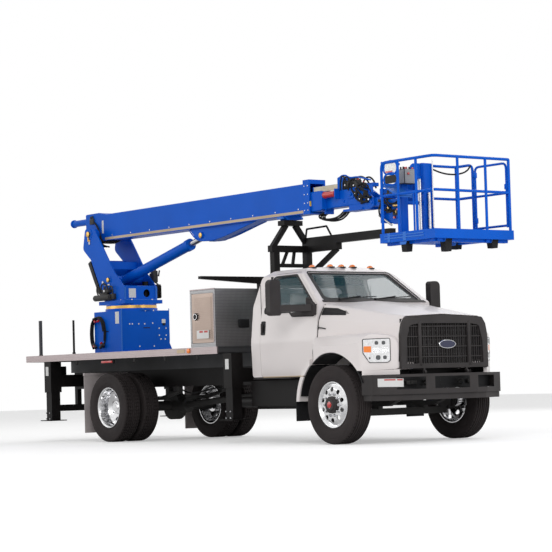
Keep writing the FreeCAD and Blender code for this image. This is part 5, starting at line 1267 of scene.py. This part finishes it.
class TRUCK_OT_pedestal_trim(bpy.types.Operator):
    """Add a lighter blue strip on the pedestal's edges as a painted highlight, and its blank plates, bolts,
    gusset and hose fittings
    """
    bl_idname = "truck.pedestal_trim"
    bl_label = "Pedestal Trim"

    def execute(self, context):
        front, side = PEDESTAL_X[1], PEDESTAL_SIDE
        bolts = ((-0.30, 1.79), (-0.25, 1.79), (-0.13, 1.79), (0.13, 1.80), (-0.12, 1.44), (0.15, 1.44),
                 (0.25, 1.72), (0.38, 1.72), (0.25, 1.61), (0.38, 1.61), (0.28, 1.55), (0.36, 1.55),
                 (0.0, 2.0), (0.15, 2.0), (-0.02, 1.79))
        fittings("pedestal_bolts", "chassis", "steel", posts=[
            ((front - 0.002, y, z), (front + 0.006, y, z), 0.0125, 6) for y, z in bolts])
        fittings("pedestal_slot", "chassis", "gasket",
                 blocks=[((front - 0.001, -0.04, 1.722), (front + 0.004, 0.08, 1.735), 0.001)])
        # painted highlight: a lighter blue strip down the pedestal's front edges
        fittings("pedestal_strip", "chassis", "light_blue", blocks=[
            ((front - 0.004, -side - 0.004, 1.345), (front + 0.006, -side + 0.012, 2.030), 0.002),
            ((front - 0.004, side - 0.012, 1.520), (front + 0.004, side + 0.002, 2.030), 0.002)])
        fittings("pedestal_labels", "chassis", "label", blocks=[
            ((-2.930, -side - 0.002, 1.800), (-2.825, -side + 0.001, 1.985), 0.0005),
            ((front - 0.001, 0.305, 1.800), (front + 0.0025, 0.375, 1.862), 0.0005)])
        fittings("pedestal_lamp", "chassis", "gasket",
                 blocks=[((front, 0.318, 1.768), (front + 0.022, 0.362, 1.800), 0.004, 2)])
        fittings("pedestal_gusset", "chassis", "blue", extra=[
            sheet([(front - 0.04, side, 1.342), (front - 0.04, side + 0.085, 1.342),
                   (front - 0.04, side, 1.520)],
                  (0.016, 0, 0), 0.001)],
            blocks=[((PEDESTAL_X[0] - 0.02, -side - 0.025, 1.341), (front + 0.012, -side, 1.356), 0.003),
                    ((front, -side, 1.341), (front + 0.016, side, 1.352), 0.003)])
        fittings("hose_ends", "chassis", "red", posts=[
            ((-3.455, -side - 0.055, 1.862), (-3.425, -side - 0.055, 1.842), 0.019, 12),
            ((-3.330, -side - 0.075, 1.850), (-3.300, -side - 0.075, 1.862), 0.019, 12),
            ((-3.480, -side - 0.060, 1.47), (-3.45, -side - 0.060, 1.455), 0.018, 12),
            ((-3.275, -side - 0.060, 1.500), (-3.250, -side - 0.060, 1.515), 0.018, 12)])
        fittings("hose_couplings", "chassis", "iron", posts=[
            ((-3.500, -side - 0.050, 1.50), (-3.430, -side - 0.050, 1.440), 0.024, 14),
            ((-3.300, -side - 0.050, 1.44), (-3.215, -side - 0.050, 1.490), 0.026, 14),
            ((-3.500, -side - 0.045, 1.890), (-3.430, -side - 0.045, 1.900), 0.020, 14)])
        fittings("pedestal_latch", "chassis", "gasket",
                 blocks=[((-3.215, -side - 0.008, 1.682), (-3.125, -side, 1.694), 0.002)])
        return {"FINISHED"}


# ---------------------------------------------------------------- nose and wheel arches

MESH_BARS = 30
MESH_ROWS = 9
GRILLE_WIDTH = 0.784
# the grille's oval: middle across and up, half its width and height
OVAL_MIDDLE = (0.05, 1.255)
OVAL_HALF = (0.145, 0.058)


def front_of(tree, lift=0.002):
    """A rule that lays a flat outline of width and height on the truck's front."""
    def place(point):
        met = tree.ray_cast(Vector((5.2, point[0], point[1])), Vector((-1, 0, 0)))[0]
        return Vector((4.18 if met is None else met.x, point[0], point[1])) + Vector((lift, 0, 0))
    return place


def arc_band(centre, outer, inner, start, end, reach, steps=20):
    """Part of a ring, pushed across the truck."""
    turns = [math.radians(start + (end - start) * step / steps) for step in range(steps + 1)]
    rim = [(outer, turn) for turn in turns] + [(inner, turn) for turn in reversed(turns)]
    x, y, z = centre
    return sheet([(x + size * math.cos(turn), y, z + size * math.sin(turn)) for size, turn in rim],
                 (0, reach, 0))


class TRUCK_OT_nose(bpy.types.Operator):
    """Add the grille's mesh and blank badge, the bumper's inner parts and blank plate, and the valances"""
    bl_idname = "truck.nose"
    bl_label = "Nose"

    def execute(self, context):
        fittings("grille_backing", "hood", "gasket",
                 blocks=[((4.108, -0.705, 0.975), (4.116, 0.705, 1.585), 0.002)])
        bars = [((4.124, -0.392 + index * GRILLE_WIDTH / MESH_BARS, 0.985),
                 (4.1275, -0.387 + index * GRILLE_WIDTH / MESH_BARS, 1.560),
                 0) for index in range(MESH_BARS + 1)]
        rows = [((4.121, -0.400, 1.010 + index * 0.060), (4.125, 0.400, 1.017 + index * 0.060), 0)
                for index in range(MESH_ROWS + 1)]
        fittings("grille_mesh", "hood", "mesh", blocks=bars + rows)
        both("side_louvres", "hood", "trim", lambda: [
            block((4.122, -0.665, 1.03 + index * 0.13), (4.136, -0.450, 1.04 + index * 0.13), 0.001)
            for index in range(4)])
        both("grille_pillars", "hood", "trim", lambda: [
            sheet([(4.176, -0.452, 0.985), (4.192, -0.440, 0.990), (4.192, -0.412, 0.990),
                   (4.176, -0.398, 0.985)],
                  (0, 0, 0.56), 0.002)])
        turns = [2 * math.pi * step / 32 for step in range(32)]
        across, up = OVAL_MIDDLE
        for name, finish, x, thick, wide, tall, ease in (
                ("badge_rim", "chrome", 4.150, 0.022, 1, 1, 0.004),
                ("badge_blank", "blue_black", 4.165, 0.0105, 0.92, 0.84, 0.002)):
            oval = [(x, across + OVAL_HALF[0] * math.cos(turn) * wide,
                     up + OVAL_HALF[1] * math.sin(turn) * tall)
                    for turn in turns]
            finished(sheet(oval, (thick, 0, 0), ease), name, "hood", finish)
        both("valance", "hood", "white", lambda: [
            sheet([LAMP_START + LAMP_ALONG * along + LAMP_OUT * out + Vector((0, 0, 0.872))
                   for along, out in ((0.02, -0.002), (0.50, -0.002), (0.50, -0.050), (0.02, -0.050))],
                  (0, 0, 0.072), 0.004)])
        both("bumper_inner", "chassis", "gasket", lambda: [
            block((4.060, -0.86, 0.690), (4.072, 0.0, 0.860), 0.002),
            block((4.060, -0.86, 0.690), (4.150, 0.0, 0.702), 0.002)])
        both("tow_hook", "chassis", "iron", lambda: [
            hose([(4.075, -0.30, 0.775), (4.13, -0.30, 0.800), (4.165, -0.30, 0.775), (4.13, -0.30, 0.745),
                  (4.09, -0.30, 0.745)], 0.014),
            block((4.075, -0.62, 0.745), (4.115, -0.44, 0.800), 0.010, 2),
            post((4.115, -0.53, 0.772), (4.128, -0.53, 0.772), 0.026, 16, 0.003)])
        bumper = skin("front_bumper")
        for name, finish, lift, thick, outline in (
                ("bumper_plate", "label", 0.005, 0.006,
                 ((-1.060, 0.727), (-0.735, 0.720), (-0.735, 0.826), (-1.060, 0.831))),
                ("bumper_plate_line", "red_paint", 0.007, 0.004,
                 ((-1.000, 0.806), (-0.750, 0.802), (-0.750, 0.818), (-1.000, 0.822)))):
            corners = [Vector(point) for point in outline]
            finished(patch(corners, front_of(bumper, lift), thick, 5), name, "chassis", finish)
        return {"FINISHED"}


ARCH_CENTRE = (3.23, -1.128, AXLE_HEIGHT)
ARCH_OUTER, ARCH_INNER, ARCH_REACH = 0.672, 0.660, 0.40


class TRUCK_OT_arches(bpy.types.Operator):
    """Line the front wheel arches, hang the flaps behind the wheels and plate the steps"""
    bl_idname = "truck.arches"
    bl_label = "Wheel Arches"

    def execute(self, context):
        both("arch_liner", "hood", "gasket", lambda: [
            arc_band(ARCH_CENTRE, ARCH_OUTER, ARCH_INNER, 24, 127, ARCH_REACH)])
        both("arch_liner_rear", "chassis", "gasket", lambda: [
            arc_band(ARCH_CENTRE, ARCH_OUTER, ARCH_INNER, 129, 170, ARCH_REACH, 10)])
        both("step_flap", "chassis", "rubber", lambda: [
            block((2.448, -1.12, 0.300), (2.460, -0.80, 0.640), 0.003),
            block((2.440, -1.12, 0.600), (2.466, -0.80, 0.650), 0.004)])
        both("door_strip", "chassis", "tan",
             lambda: [block((1.60, -1.010, 0.886), (2.47, -0.985, 0.902), 0.003)])
        both("step_plate", "chassis", "trim", lambda: [
            block((1.560, -1.150, 0.868), (2.400, -1.010, 0.880), 0.003),
            *[block((1.60 + index * 0.07, -1.140, 0.880), (1.64 + index * 0.07, -1.020, 0.884), 0.001)
              for index in range(11)]])
        return {"FINISHED"}


# ---------------------------------------------------------------- inside the cab

CUSHION_CELLS = 42
CUSHION_PRESSURE = 4
CUSHION_STEPS = 20
CUSHION_GIVE = 0.022


def cushion(low, high, tilt=0.0, pivot=(0, 0, 0)):
    """A padded form between two corners, blown up by a limited amount and smoothed."""
    piece = block(low, high, 0.03, 3)
    if tilt:
        edit(piece)
        bpy.ops.transform.rotate(value=tilt, orient_axis="Y", orient_type="GLOBAL", center_override=pivot)
        bpy.ops.object.mode_set(mode="OBJECT")
    size = (Vector(high) - Vector(low)).length
    only(piece)
    piece.data.remesh_voxel_size = size / CUSHION_CELLS
    bpy.ops.object.voxel_remesh()
    cloth = piece.modifiers.new("Padding", "CLOTH")
    cloth.settings.use_pressure = True
    cloth.settings.uniform_pressure_force = CUSHION_PRESSURE
    cloth.settings.effector_weights.gravity = 0
    before = [corner.co.copy() for corner in piece.data.vertices]
    scene = bpy.context.scene
    for step in range(1, CUSHION_STEPS + 1):
        scene.frame_set(step)
    bpy.ops.object.convert(target="MESH")
    scene.frame_set(1)
    for corner, start in zip(piece.data.vertices, before):
        moved = corner.co - start
        if moved.length > CUSHION_GIVE:
            corner.co = start + moved.normalized() * CUSHION_GIVE
    bpy.ops.object.modifier_add(type="SMOOTH")
    piece.modifiers[-1].iterations = 4
    bpy.ops.object.modifier_apply(modifier=piece.modifiers[-1].name)
    return piece


class TRUCK_OT_seats(bpy.types.Operator):
    """Replace the plain seats with padded cushions, backs and head rests with piped seams"""
    bl_idname = "truck.seats"
    bl_label = "Seats"

    def execute(self, context):
        soft, seams = [], []
        for side in (0.43, -0.43):
            soft += [
                cushion((1.86, side - 0.245, 1.215), (2.36, side + 0.245, 1.405), -0.05, (2.1, 0, 1.3)),
                cushion((1.69, side - 0.235, 1.42), (1.83, side + 0.235, 1.90), -0.16, (1.76, 0, 1.42)),
                cushion((1.635, side - 0.13, 1.875), (1.725, side + 0.13, 2.030), -0.10, (1.68, 0, 1.95)),
            ]
            for across in (-0.13, 0.13):
                seams += [hose([(1.885, side + across, 1.402), (2.10, side + across, 1.416),
                                (2.34, side + across, 1.418)], 0.005)]
            seams += [hose([(1.60, side - 0.03, 1.84), (1.60, side - 0.03, 1.80)], 0.008)]
        seats = finished(soft, "seats", "chassis", "cloth", 60)
        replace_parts(seats, "cab_seats")
        finished(seams, "seat_seams", "chassis", "gasket")
        both("seat_base", "chassis", "lining", lambda: [
            block((1.88, -0.66, 1.12), (2.33, -0.20, 1.215), 0.012, 2),
            block((1.78, -0.69, 1.20), (1.90, -0.665, 1.30), 0.008, 2)])
        return {"FINISHED"}


class TRUCK_OT_cab_inside(bpy.types.Operator):
    """Line the cab in dark trim and add the inner mirror and the gauges' hood"""
    bl_idname = "truck.cab_inside"
    bl_label = "Cab Inside"

    def execute(self, context):
        fittings("cab_lining", "chassis", "lining", blocks=[
            ((1.612, -0.90, 1.10), (1.624, 0.90, 1.72), 0.003),
            ((1.612, -0.84, 2.15), (1.624, 0.84, 2.26), 0.003),
            ((1.70, -0.76, 2.270), (2.16, 0.76, 2.282), 0.003),
            ((1.62, -0.90, 1.108), (2.62, 0.90, 1.118), 0.002)])
        fittings("inner_mirror", "chassis", "gasket",
                 blocks=[((2.235, -0.13, 2.125), (2.255, 0.13, 2.195), 0.012, 2)],
                 posts=[((2.25, 0, 2.19), (2.275, 0, 2.235), 0.008, 10)])
        fittings("gauge_hood", "chassis", "lining",
                 blocks=[((2.52, 0.24, 1.79), (2.66, 0.64, 1.835), 0.02, 3),
                         ((2.50, -0.85, 1.60), (2.53, -0.10, 1.72), 0.01, 2)],
                 posts=[((2.47, 0.0, 1.45), (2.42, 0.0, 1.62), 0.014, 12),
                        ((2.42, 0.0, 1.62), (2.42, 0.0, 1.66), 0.024, 14, 0.006)])
        return {"FINISHED"}


# ---------------------------------------------------------------- basket tubes

RAIL_REAR, RAIL_FRONT, RAIL_SIDE = 3.780, 4.780, 0.650
RAIL_FOOT, RAIL_MID, RAIL_TOP = 2.600, 3.180, 3.610
GATE_REAR, GATE_FRONT, GATE_FOOT, GATE_TOP = 4.148, 4.734, 2.735, 3.570
GATE_POST = 4.10
# tube radii, and the bend of a straight tube that has no corner
TALL_TUBE, RAIL_TUBE, GATE_TUBE = 0.0195, 0.0185, 0.016
STRAIGHT = 0.01


def bent(points, radius, bend, steps=5, sides=3):
    """A tube with straight runs and rounded bends."""
    path = [Vector(points[0])]
    for before, corner, after in zip(points, points[1:], points[2:]):
        before, corner, after = Vector(before), Vector(corner), Vector(after)
        start = corner + (before - corner).normalized() * bend
        end = corner + (after - corner).normalized() * bend
        for step in range(steps + 1):
            share = step / steps
            path.append(start * (1 - share) ** 2 + corner * 2 * share * (1 - share) + end * share ** 2)
    path.append(Vector(points[-1]))
    return hose(path, radius, sides, "VECTOR")


class TRUCK_OT_basket_tubes(bpy.types.Operator):
    """Bend the basket's rails and gate from round tube and stand them round its mast"""
    bl_idname = "truck.basket_tubes"
    bl_label = "Basket Tubes"

    def execute(self, context):
        rear, front, side = RAIL_REAR, RAIL_FRONT, RAIL_SIDE
        foot, mid, top = RAIL_FOOT, RAIL_MID, RAIL_TOP
        gate = GATE_POST
        tubes = [
            bent([(rear, -side, foot), (rear, -side, top), (front, -side, top), (front, side, top)],
                 TALL_TUBE, 0.085),
            bent([(rear, -side, mid), (front, -side, mid), (front, side, mid)], RAIL_TUBE, 0.060),
            bent([(rear, 0.035, top), (rear, side, top), (gate, side, top), (gate, side, foot)],
                 RAIL_TUBE, 0.080),
            *[bent([(rear, -0.345, z), (rear, -side + 0.005, z)], RAIL_TUBE, STRAIGHT) for z in (top, mid)],
            bent([(rear, 0.185, mid), (rear, side, mid), (gate, side, mid)], RAIL_TUBE, 0.060),
            bent([(front, side, foot), (front, side, top)], TALL_TUBE, STRAIGHT),
        ]
        tubes += [bent([(x, y, foot), (x, y, top - 0.004)], RAIL_TUBE, STRAIGHT)
                  for x, y in ((rear, side), (gate, -side), (4.45, -side), (front, 0.24), (front, -0.24))]
        mast = [block((3.763, 0.020, foot), (3.817, 0.190, 3.640), 0.006, 2),
                block((3.763, -0.350, foot), (3.817, -0.240, 3.440), 0.006, 2),
                *[block((3.766, start, low), (3.806, 0.025, high), 0.003)
                  for start, low, high in ((-0.245, 3.090, 3.132), (-0.245, 3.240, 3.282),
                                           (-0.100, 3.4203, 3.470))],
                *[block((3.530, -0.095, low), (3.780, 0.095, high), 0.003)
                  for low, high in ((3.112, 3.1417), (3.4203, 3.446))]]
        rails = finished(tubes + mast, "basket_bent_rails", "basket", "blue", 50)
        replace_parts(rails, "basket_rails")
        gates = [
            bent([(GATE_REAR, side, GATE_FOOT), (GATE_REAR, side, GATE_TOP), (GATE_FRONT, side, GATE_TOP),
                  (GATE_FRONT, side, GATE_FOOT)], GATE_TUBE, 0.075),
            *[bent([(GATE_REAR, side, z), (GATE_FRONT, side, z)], GATE_TUBE, STRAIGHT) for z in (2.76, 3.18)],
            *[post((GATE_REAR, side, z), (GATE_REAR, side, z + 0.07), 0.0265, 20, 0.003)
              for z in (2.83, 3.43)],
            block((4.700, side - 0.012, 3.23), (4.722, side + 0.020, 3.30), 0.004)]
        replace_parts(finished(gates, "basket_bent_gate", "basket_gate", "blue", 50), "basket_gate")
        fittings("corner_post", "basket", "steel", extra=[
            hose([(front, -0.664, 2.70), (front + 0.001, -0.664, 3.55)], 0.008)])
        return {"FINISHED"}


# ---------------------------------------------------------------- deck, tool box and supports

DOOR_FACE = -1.2125
LATCH = (0.330, 1.770)
RIBS, RIB_PITCH = 24, 0.0252
HINGE_TEETH, TOOTH_PITCH = 16, 0.042
DECK_EDGE = -1.2205


class TRUCK_OT_toolbox_trim(bpy.types.Operator):
    """Rib the tool box doors and add their latches, hinges, blank plates and rounded lip"""
    bl_idname = "truck.toolbox_trim"
    bl_label = "Tool Box Trim"

    def execute(self, context):
        face = DOOR_FACE
        x, z = LATCH
        both("door_ribs", "toolbox_door_{}", "ribbed", lambda: [
            block((0.262, face - 0.0015, 1.445 + index * RIB_PITCH),
                  (0.700, face + 0.002, 1.4535 + index * RIB_PITCH), 0)
            for index in range(RIBS)])
        both("door_latch", "toolbox_door_{}", "gasket", lambda: [
            post((x, face + 0.002, z), (x, face - 0.012, z), 0.052, 28, 0.005),
            post((x, face - 0.010, z), (x, face - 0.020, z), 0.024, 20, 0.003)])
        both("latch_ring", "toolbox_door_{}", "chrome", lambda: spun(
            ((-0.011, 0.036), (-0.0165, 0.038), (-0.0165, 0.042), (-0.011, 0.044)), (x, face, z), 28))
        both("door_plate", "toolbox_door_{}", "label", lambda: [
            block((0.350, face - 0.003, 1.460), (0.640, face - 0.001, 1.575), 0.0005)])
        both("door_plate_marks", "toolbox_door_{}", "red_paint", lambda: [
            block((start, face - 0.0045, 1.542), (start + 0.085, face - 0.0025, 1.568), 0.0005)
            for start in (0.415, 0.530)])
        both("box_lip", "chassis", "aluminium", lambda: [
            hose([(0.185, -1.196, 2.146), (0.40, -1.196, 2.146), (0.775, -1.196, 2.146)], 0.010),
            hose([(0.7725, -1.190, 1.36), (0.7725, -1.190, 2.14)], 0.007)])
        both("hinge_teeth", "chassis", "aluminium", lambda: [
            block((0.742, face + 0.004, 1.42 + index * TOOTH_PITCH),
                  (0.756, face + 0.014, 1.448 + index * TOOTH_PITCH), 0.001)
            for index in range(HINGE_TEETH)])
        fittings("box_grip", "chassis", "gasket",
                 blocks=[((0.781, -0.80, 1.60), (0.800, -0.62, 1.72), 0.006, 2)])
        return {"FINISHED"}


class TRUCK_OT_deck_trim(bpy.types.Operator):
    """Add the deck's stakes, edge grooves, reflectors, lamps, rear lights and straps"""
    bl_idname = "truck.deck_trim"
    bl_label = "Deck Trim"

    def execute(self, context):
        edge = DECK_EDGE
        both("deck_stakes", "chassis", "black", lambda: [
            post((-2.99, -1.175, 1.30), (-2.99, -1.175, 1.86), 0.017, 14, 0.003),
            post((-2.99, -1.175, 1.345), (-2.99, -1.175, 1.365), 0.027, 14, 0.003),
            block((-4.000, -1.200, 1.335), (-3.950, -1.150, 1.352), 0.003)])
        both("edge_grooves", "chassis", "aluminium", lambda: [
            block((-4.358, edge - 0.003, z), (0.828, edge + 0.002, z + 0.010), 0.001)
            for z in (1.262, 1.290, 1.328)])
        both("edge_reflector", "chassis", "tan", lambda: [
            block((-0.140, edge - 0.006, 1.270), (0.055, edge - 0.001, 1.320), 0.002)])
        both("edge_amber", "chassis", "amber", lambda: [
            post((0.150, edge, 1.297), (0.150, edge - 0.018, 1.297), 0.036, 22, 0.006)])
        both("edge_red", "chassis", "red", lambda: [
            block((-2.180, -1.205, 1.180), (-1.885, -1.190, 1.212), 0.004, 2),
            block((-4.3615, -1.19, 1.262), (-4.345, -1.09, 1.322), 0.004, 2)])
        both("red_holder", "chassis", "gasket",
             lambda: [block((-2.20, -1.192, 1.170), (-1.865, -1.160, 1.222), 0.004)])
        both("rear_lights", "chassis", "red", lambda: [
            post((-4.300, y, 1.10), (-4.322, y, 1.10), 0.052, 24, 0.006) for y in (-0.62, -0.76)])
        both("rear_light_box", "chassis", "black",
             lambda: [block((-4.302, -0.84, 1.03), (-4.262, -0.54, 1.17), 0.006, 2)])
        both("rub_straps", "chassis", "black", lambda: [
            block((x, -1.214, 1.170), (x + 0.06, -1.204, 1.255), 0.004)
            for x in (-3.7, -2.9, -1.3, -0.5, 0.3)])
        return {"FINISHED"}


LEG_REAR = -3.715
LEG_FRONT = 1.070
SADDLE_X = 0.995


class TRUCK_OT_support_trim(bpy.types.Operator):
    """Add the outriggers' bolts and blank plates, the boom rest's pads and the air lines below"""
    bl_idname = "truck.support_trim"
    bl_label = "Support Trim"

    def execute(self, context):
        legs = skin("outrigger_sleeves", "chassis_frame")
        for name, x in (("rear", LEG_REAR), ("front", LEG_FRONT)):
            on_leg = side_of(legs, -1.35, 0.001, default=-1.22)
            both(f"{name}_leg_plate", "chassis", "label", lambda: patch(
                [Vector(point) for point in ((x - 0.050, 1.02), (x + 0.030, 1.02),
                                             (x + 0.030, 1.16), (x - 0.050, 1.16))], on_leg, 0.003, 1))
            both(f"{name}_leg_bolts", f"{name}_leg_{{}}", "steel", lambda: [
                post((x + side, -1.232, z), (x + side, -1.218, z), 0.011, 6) for side in (-0.05, 0.05)
                for z in (0.35, 0.44)])
        # painted highlight: the boom rest's pads are in the lighter copy of the boom blue
        fittings("rest_pad", "chassis", "light_blue", blocks=[
            ((SADDLE_X - 0.060, -0.190, 3.118), (SADDLE_X + 0.060, -0.150, 3.150), 0.004),
            ((SADDLE_X - 0.060, 0.150, 3.118), (SADDLE_X + 0.060, 0.190, 3.150), 0.004)])
        fittings("air_lines", "chassis", "rubber", hoses=[
            ([(-1.0, -0.30, 0.90), (-0.4, -0.34, 0.82), (0.2, -0.32, 0.88), (1.0, -0.36, 0.80)], 0.012),
            ([(-1.6, -0.20, 0.78), (-1.2, -0.26, 0.70), (-0.6, -0.22, 0.76), (0.0, -0.28, 0.72)], 0.011),
            ([(2.9, -0.30, 0.70), (3.3, -0.36, 0.62), (3.6, -0.34, 0.70), (3.8, -0.30, 0.74)], 0.010)])
        return {"FINISHED"}


# ---------------------------------------------------------------- studio

def studio_world():
    """A soft grey dome that looks white to the camera, in gloss and through glass."""
    world = bpy.data.worlds.new("studio")
    bpy.context.scene.world = world
    world.use_nodes = True
    nodes = world.node_tree.nodes
    links = world.node_tree.links
    background = nodes["Background"]
    path = nodes.new("ShaderNodeLightPath")
    seen = path.outputs["Is Camera Ray"]
    for kind in ("Is Glossy Ray", "Is Transmission Ray"):
        either = nodes.new("ShaderNodeMath")
        either.operation = "MAXIMUM"
        links.new(seen, either.inputs[0])
        links.new(path.outputs[kind], either.inputs[1])
        seen = either.outputs["Value"]
    strength = nodes.new("ShaderNodeMapRange")
    strength.inputs["To Min"].default_value = 0.5
    strength.inputs["To Max"].default_value = 1.0
    links.new(seen, strength.inputs["Value"])
    links.new(strength.outputs["Result"], background.inputs["Strength"])
    background.inputs["Color"].default_value = (1, 1, 1, 1)


def studio_floor():
    """A pale floor that shows white to the camera and keeps the truck's shadow."""
    bpy.ops.mesh.primitive_plane_add(size=90, location=(0, 0, -0.002))
    floor = bpy.context.object
    floor.name = "studio_floor"
    made = Finish("studio floor")
    made.join(made.ramp(made.noise(0.4, 2), (0.3, (0.80, 0.80, 0.80)), (0.7, (0.84, 0.84, 0.84))),
              "Base Color")
    made.set(Roughness=0.9, Specular_IOR_Level=0.1)
    path = made.nodes.new("ShaderNodeLightPath")
    glow = made.maths("MULTIPLY", path.outputs["Is Camera Ray"], 0.34)
    made.join(glow, "Emission Strength")
    made.set(Emission_Color=(1, 1, 1, 1))
    floor.data.materials.append(made.material)


LAMPS = (
    # name, place, aim, size, watts
    ("key", (14, -13, 11), (0, 0, 1.6), 9, 1300),
    ("fill", (-14, -16, 8), (-1, 0, 1.6), 12, 560),
    ("back", (-4, 15, 12), (0, 0, 1.5), 12, 800),
    ("front", (16, 4, 6), (2, 0, 1.6), 8, 420),
)
CAMERA_PLACE = (23.6777, -17.6130, 0.8268)
CAMERA_TURN = (52.6157, -2.9859, -1.5964)
CAMERA_LENS = 132.4


class TRUCK_OT_stage(bpy.types.Operator):
    """Set up the pale floor, the soft lamps and the camera"""
    bl_idname = "truck.stage"
    bl_label = "Studio"

    def execute(self, context):
        context.scene.view_settings.view_transform = "Standard"
        studio_world()
        studio_floor()
        for name, place, aim, size, watts in LAMPS:
            bpy.ops.object.light_add(type="AREA", location=place)
            lamp = context.object
            lamp.name = f"studio_{name}"
            lamp.data.size = size
            lamp.data.energy = watts
            lamp.rotation_euler = (Vector(aim) - Vector(place)).to_track_quat("-Z", "Y").to_euler()
        bpy.ops.object.camera_add(location=CAMERA_PLACE)
        camera = context.object
        camera.name = "studio_camera"
        side, rise, roll = (math.radians(part) for part in CAMERA_TURN)
        back = Vector((math.sin(side) * math.cos(rise), -math.cos(side) * math.cos(rise), math.sin(rise)))
        right = (-back).cross(Vector((0, 0, 1))).normalized()
        up = back.cross(right)
        right, up = (right * math.cos(roll) + up * math.sin(roll),
                     up * math.cos(roll) - right * math.sin(roll))
        camera.rotation_euler = Matrix((right, up, back)).transposed().to_euler()
        camera.data.lens = CAMERA_LENS
        camera.data.sensor_width = 36
        camera.data.clip_end = 300
        context.scene.camera = camera
        return {"FINISHED"}


STEPS = (
    TRUCK_OT_finishes,
    TRUCK_OT_tyres,
    TRUCK_OT_wheel_trim,
    TRUCK_OT_cab_trim,
    TRUCK_OT_roof_lamps,
    TRUCK_OT_windscreen,
    TRUCK_OT_headlamps,
    TRUCK_OT_boom_trim,
    TRUCK_OT_boom_pivot,
    TRUCK_OT_boom_head,
    TRUCK_OT_basket_drive,
    TRUCK_OT_basket_trim,
    TRUCK_OT_turret_trim,
    TRUCK_OT_pedestal_trim,
    TRUCK_OT_nose,
    TRUCK_OT_arches,
    TRUCK_OT_seats,
    TRUCK_OT_cab_inside,
    TRUCK_OT_basket_tubes,
    TRUCK_OT_toolbox_trim,
    TRUCK_OT_deck_trim,
    TRUCK_OT_support_trim,
    TRUCK_OT_stage,
)


class TRUCK_PT_panel(bpy.types.Panel):
    """Shows the truck's settings and a button for each step in the sidebar"""
    bl_idname = "TRUCK_PT_panel"
    bl_label = "Cherry Picker Truck"
    bl_space_type = "VIEW_3D"
    bl_region_type = "UI"
    bl_category = "Truck"

    def draw(self, context):
        for name in TruckSettings.__annotations__:
            self.layout.prop(context.scene.truck_settings, name)
        for step in STEPS:
            self.layout.operator(step.bl_idname)


CLASSES = (TruckSettings, *STEPS, TRUCK_PT_panel)


def register():
    for made in CLASSES:
        bpy.utils.register_class(made)
    bpy.types.Scene.truck_settings = bpy.props.PointerProperty(type=TruckSettings)


def unregister():
    del bpy.types.Scene.truck_settings
    for made in reversed(CLASSES):
        bpy.utils.unregister_class(made)


def main():
    register()
    bpy.ops.truck.finishes()
    bpy.ops.truck.tyres()
    bpy.ops.truck.wheel_trim()
    bpy.ops.truck.cab_trim()
    bpy.ops.truck.roof_lamps()
    bpy.ops.truck.windscreen()
    bpy.ops.truck.headlamps()
    bpy.ops.truck.boom_trim()
    bpy.ops.truck.boom_pivot()
    bpy.ops.truck.boom_head()
    bpy.ops.truck.basket_drive()
    bpy.ops.truck.basket_trim()
    bpy.ops.truck.turret_trim()
    bpy.ops.truck.pedestal_trim()
    bpy.ops.truck.nose()
    bpy.ops.truck.arches()
    bpy.ops.truck.seats()
    bpy.ops.truck.cab_inside()
    bpy.ops.truck.basket_tubes()
    bpy.ops.truck.toolbox_trim()
    bpy.ops.truck.deck_trim()
    bpy.ops.truck.support_trim()
    bpy.ops.truck.stage()


if __name__ == "__main__":
    main()
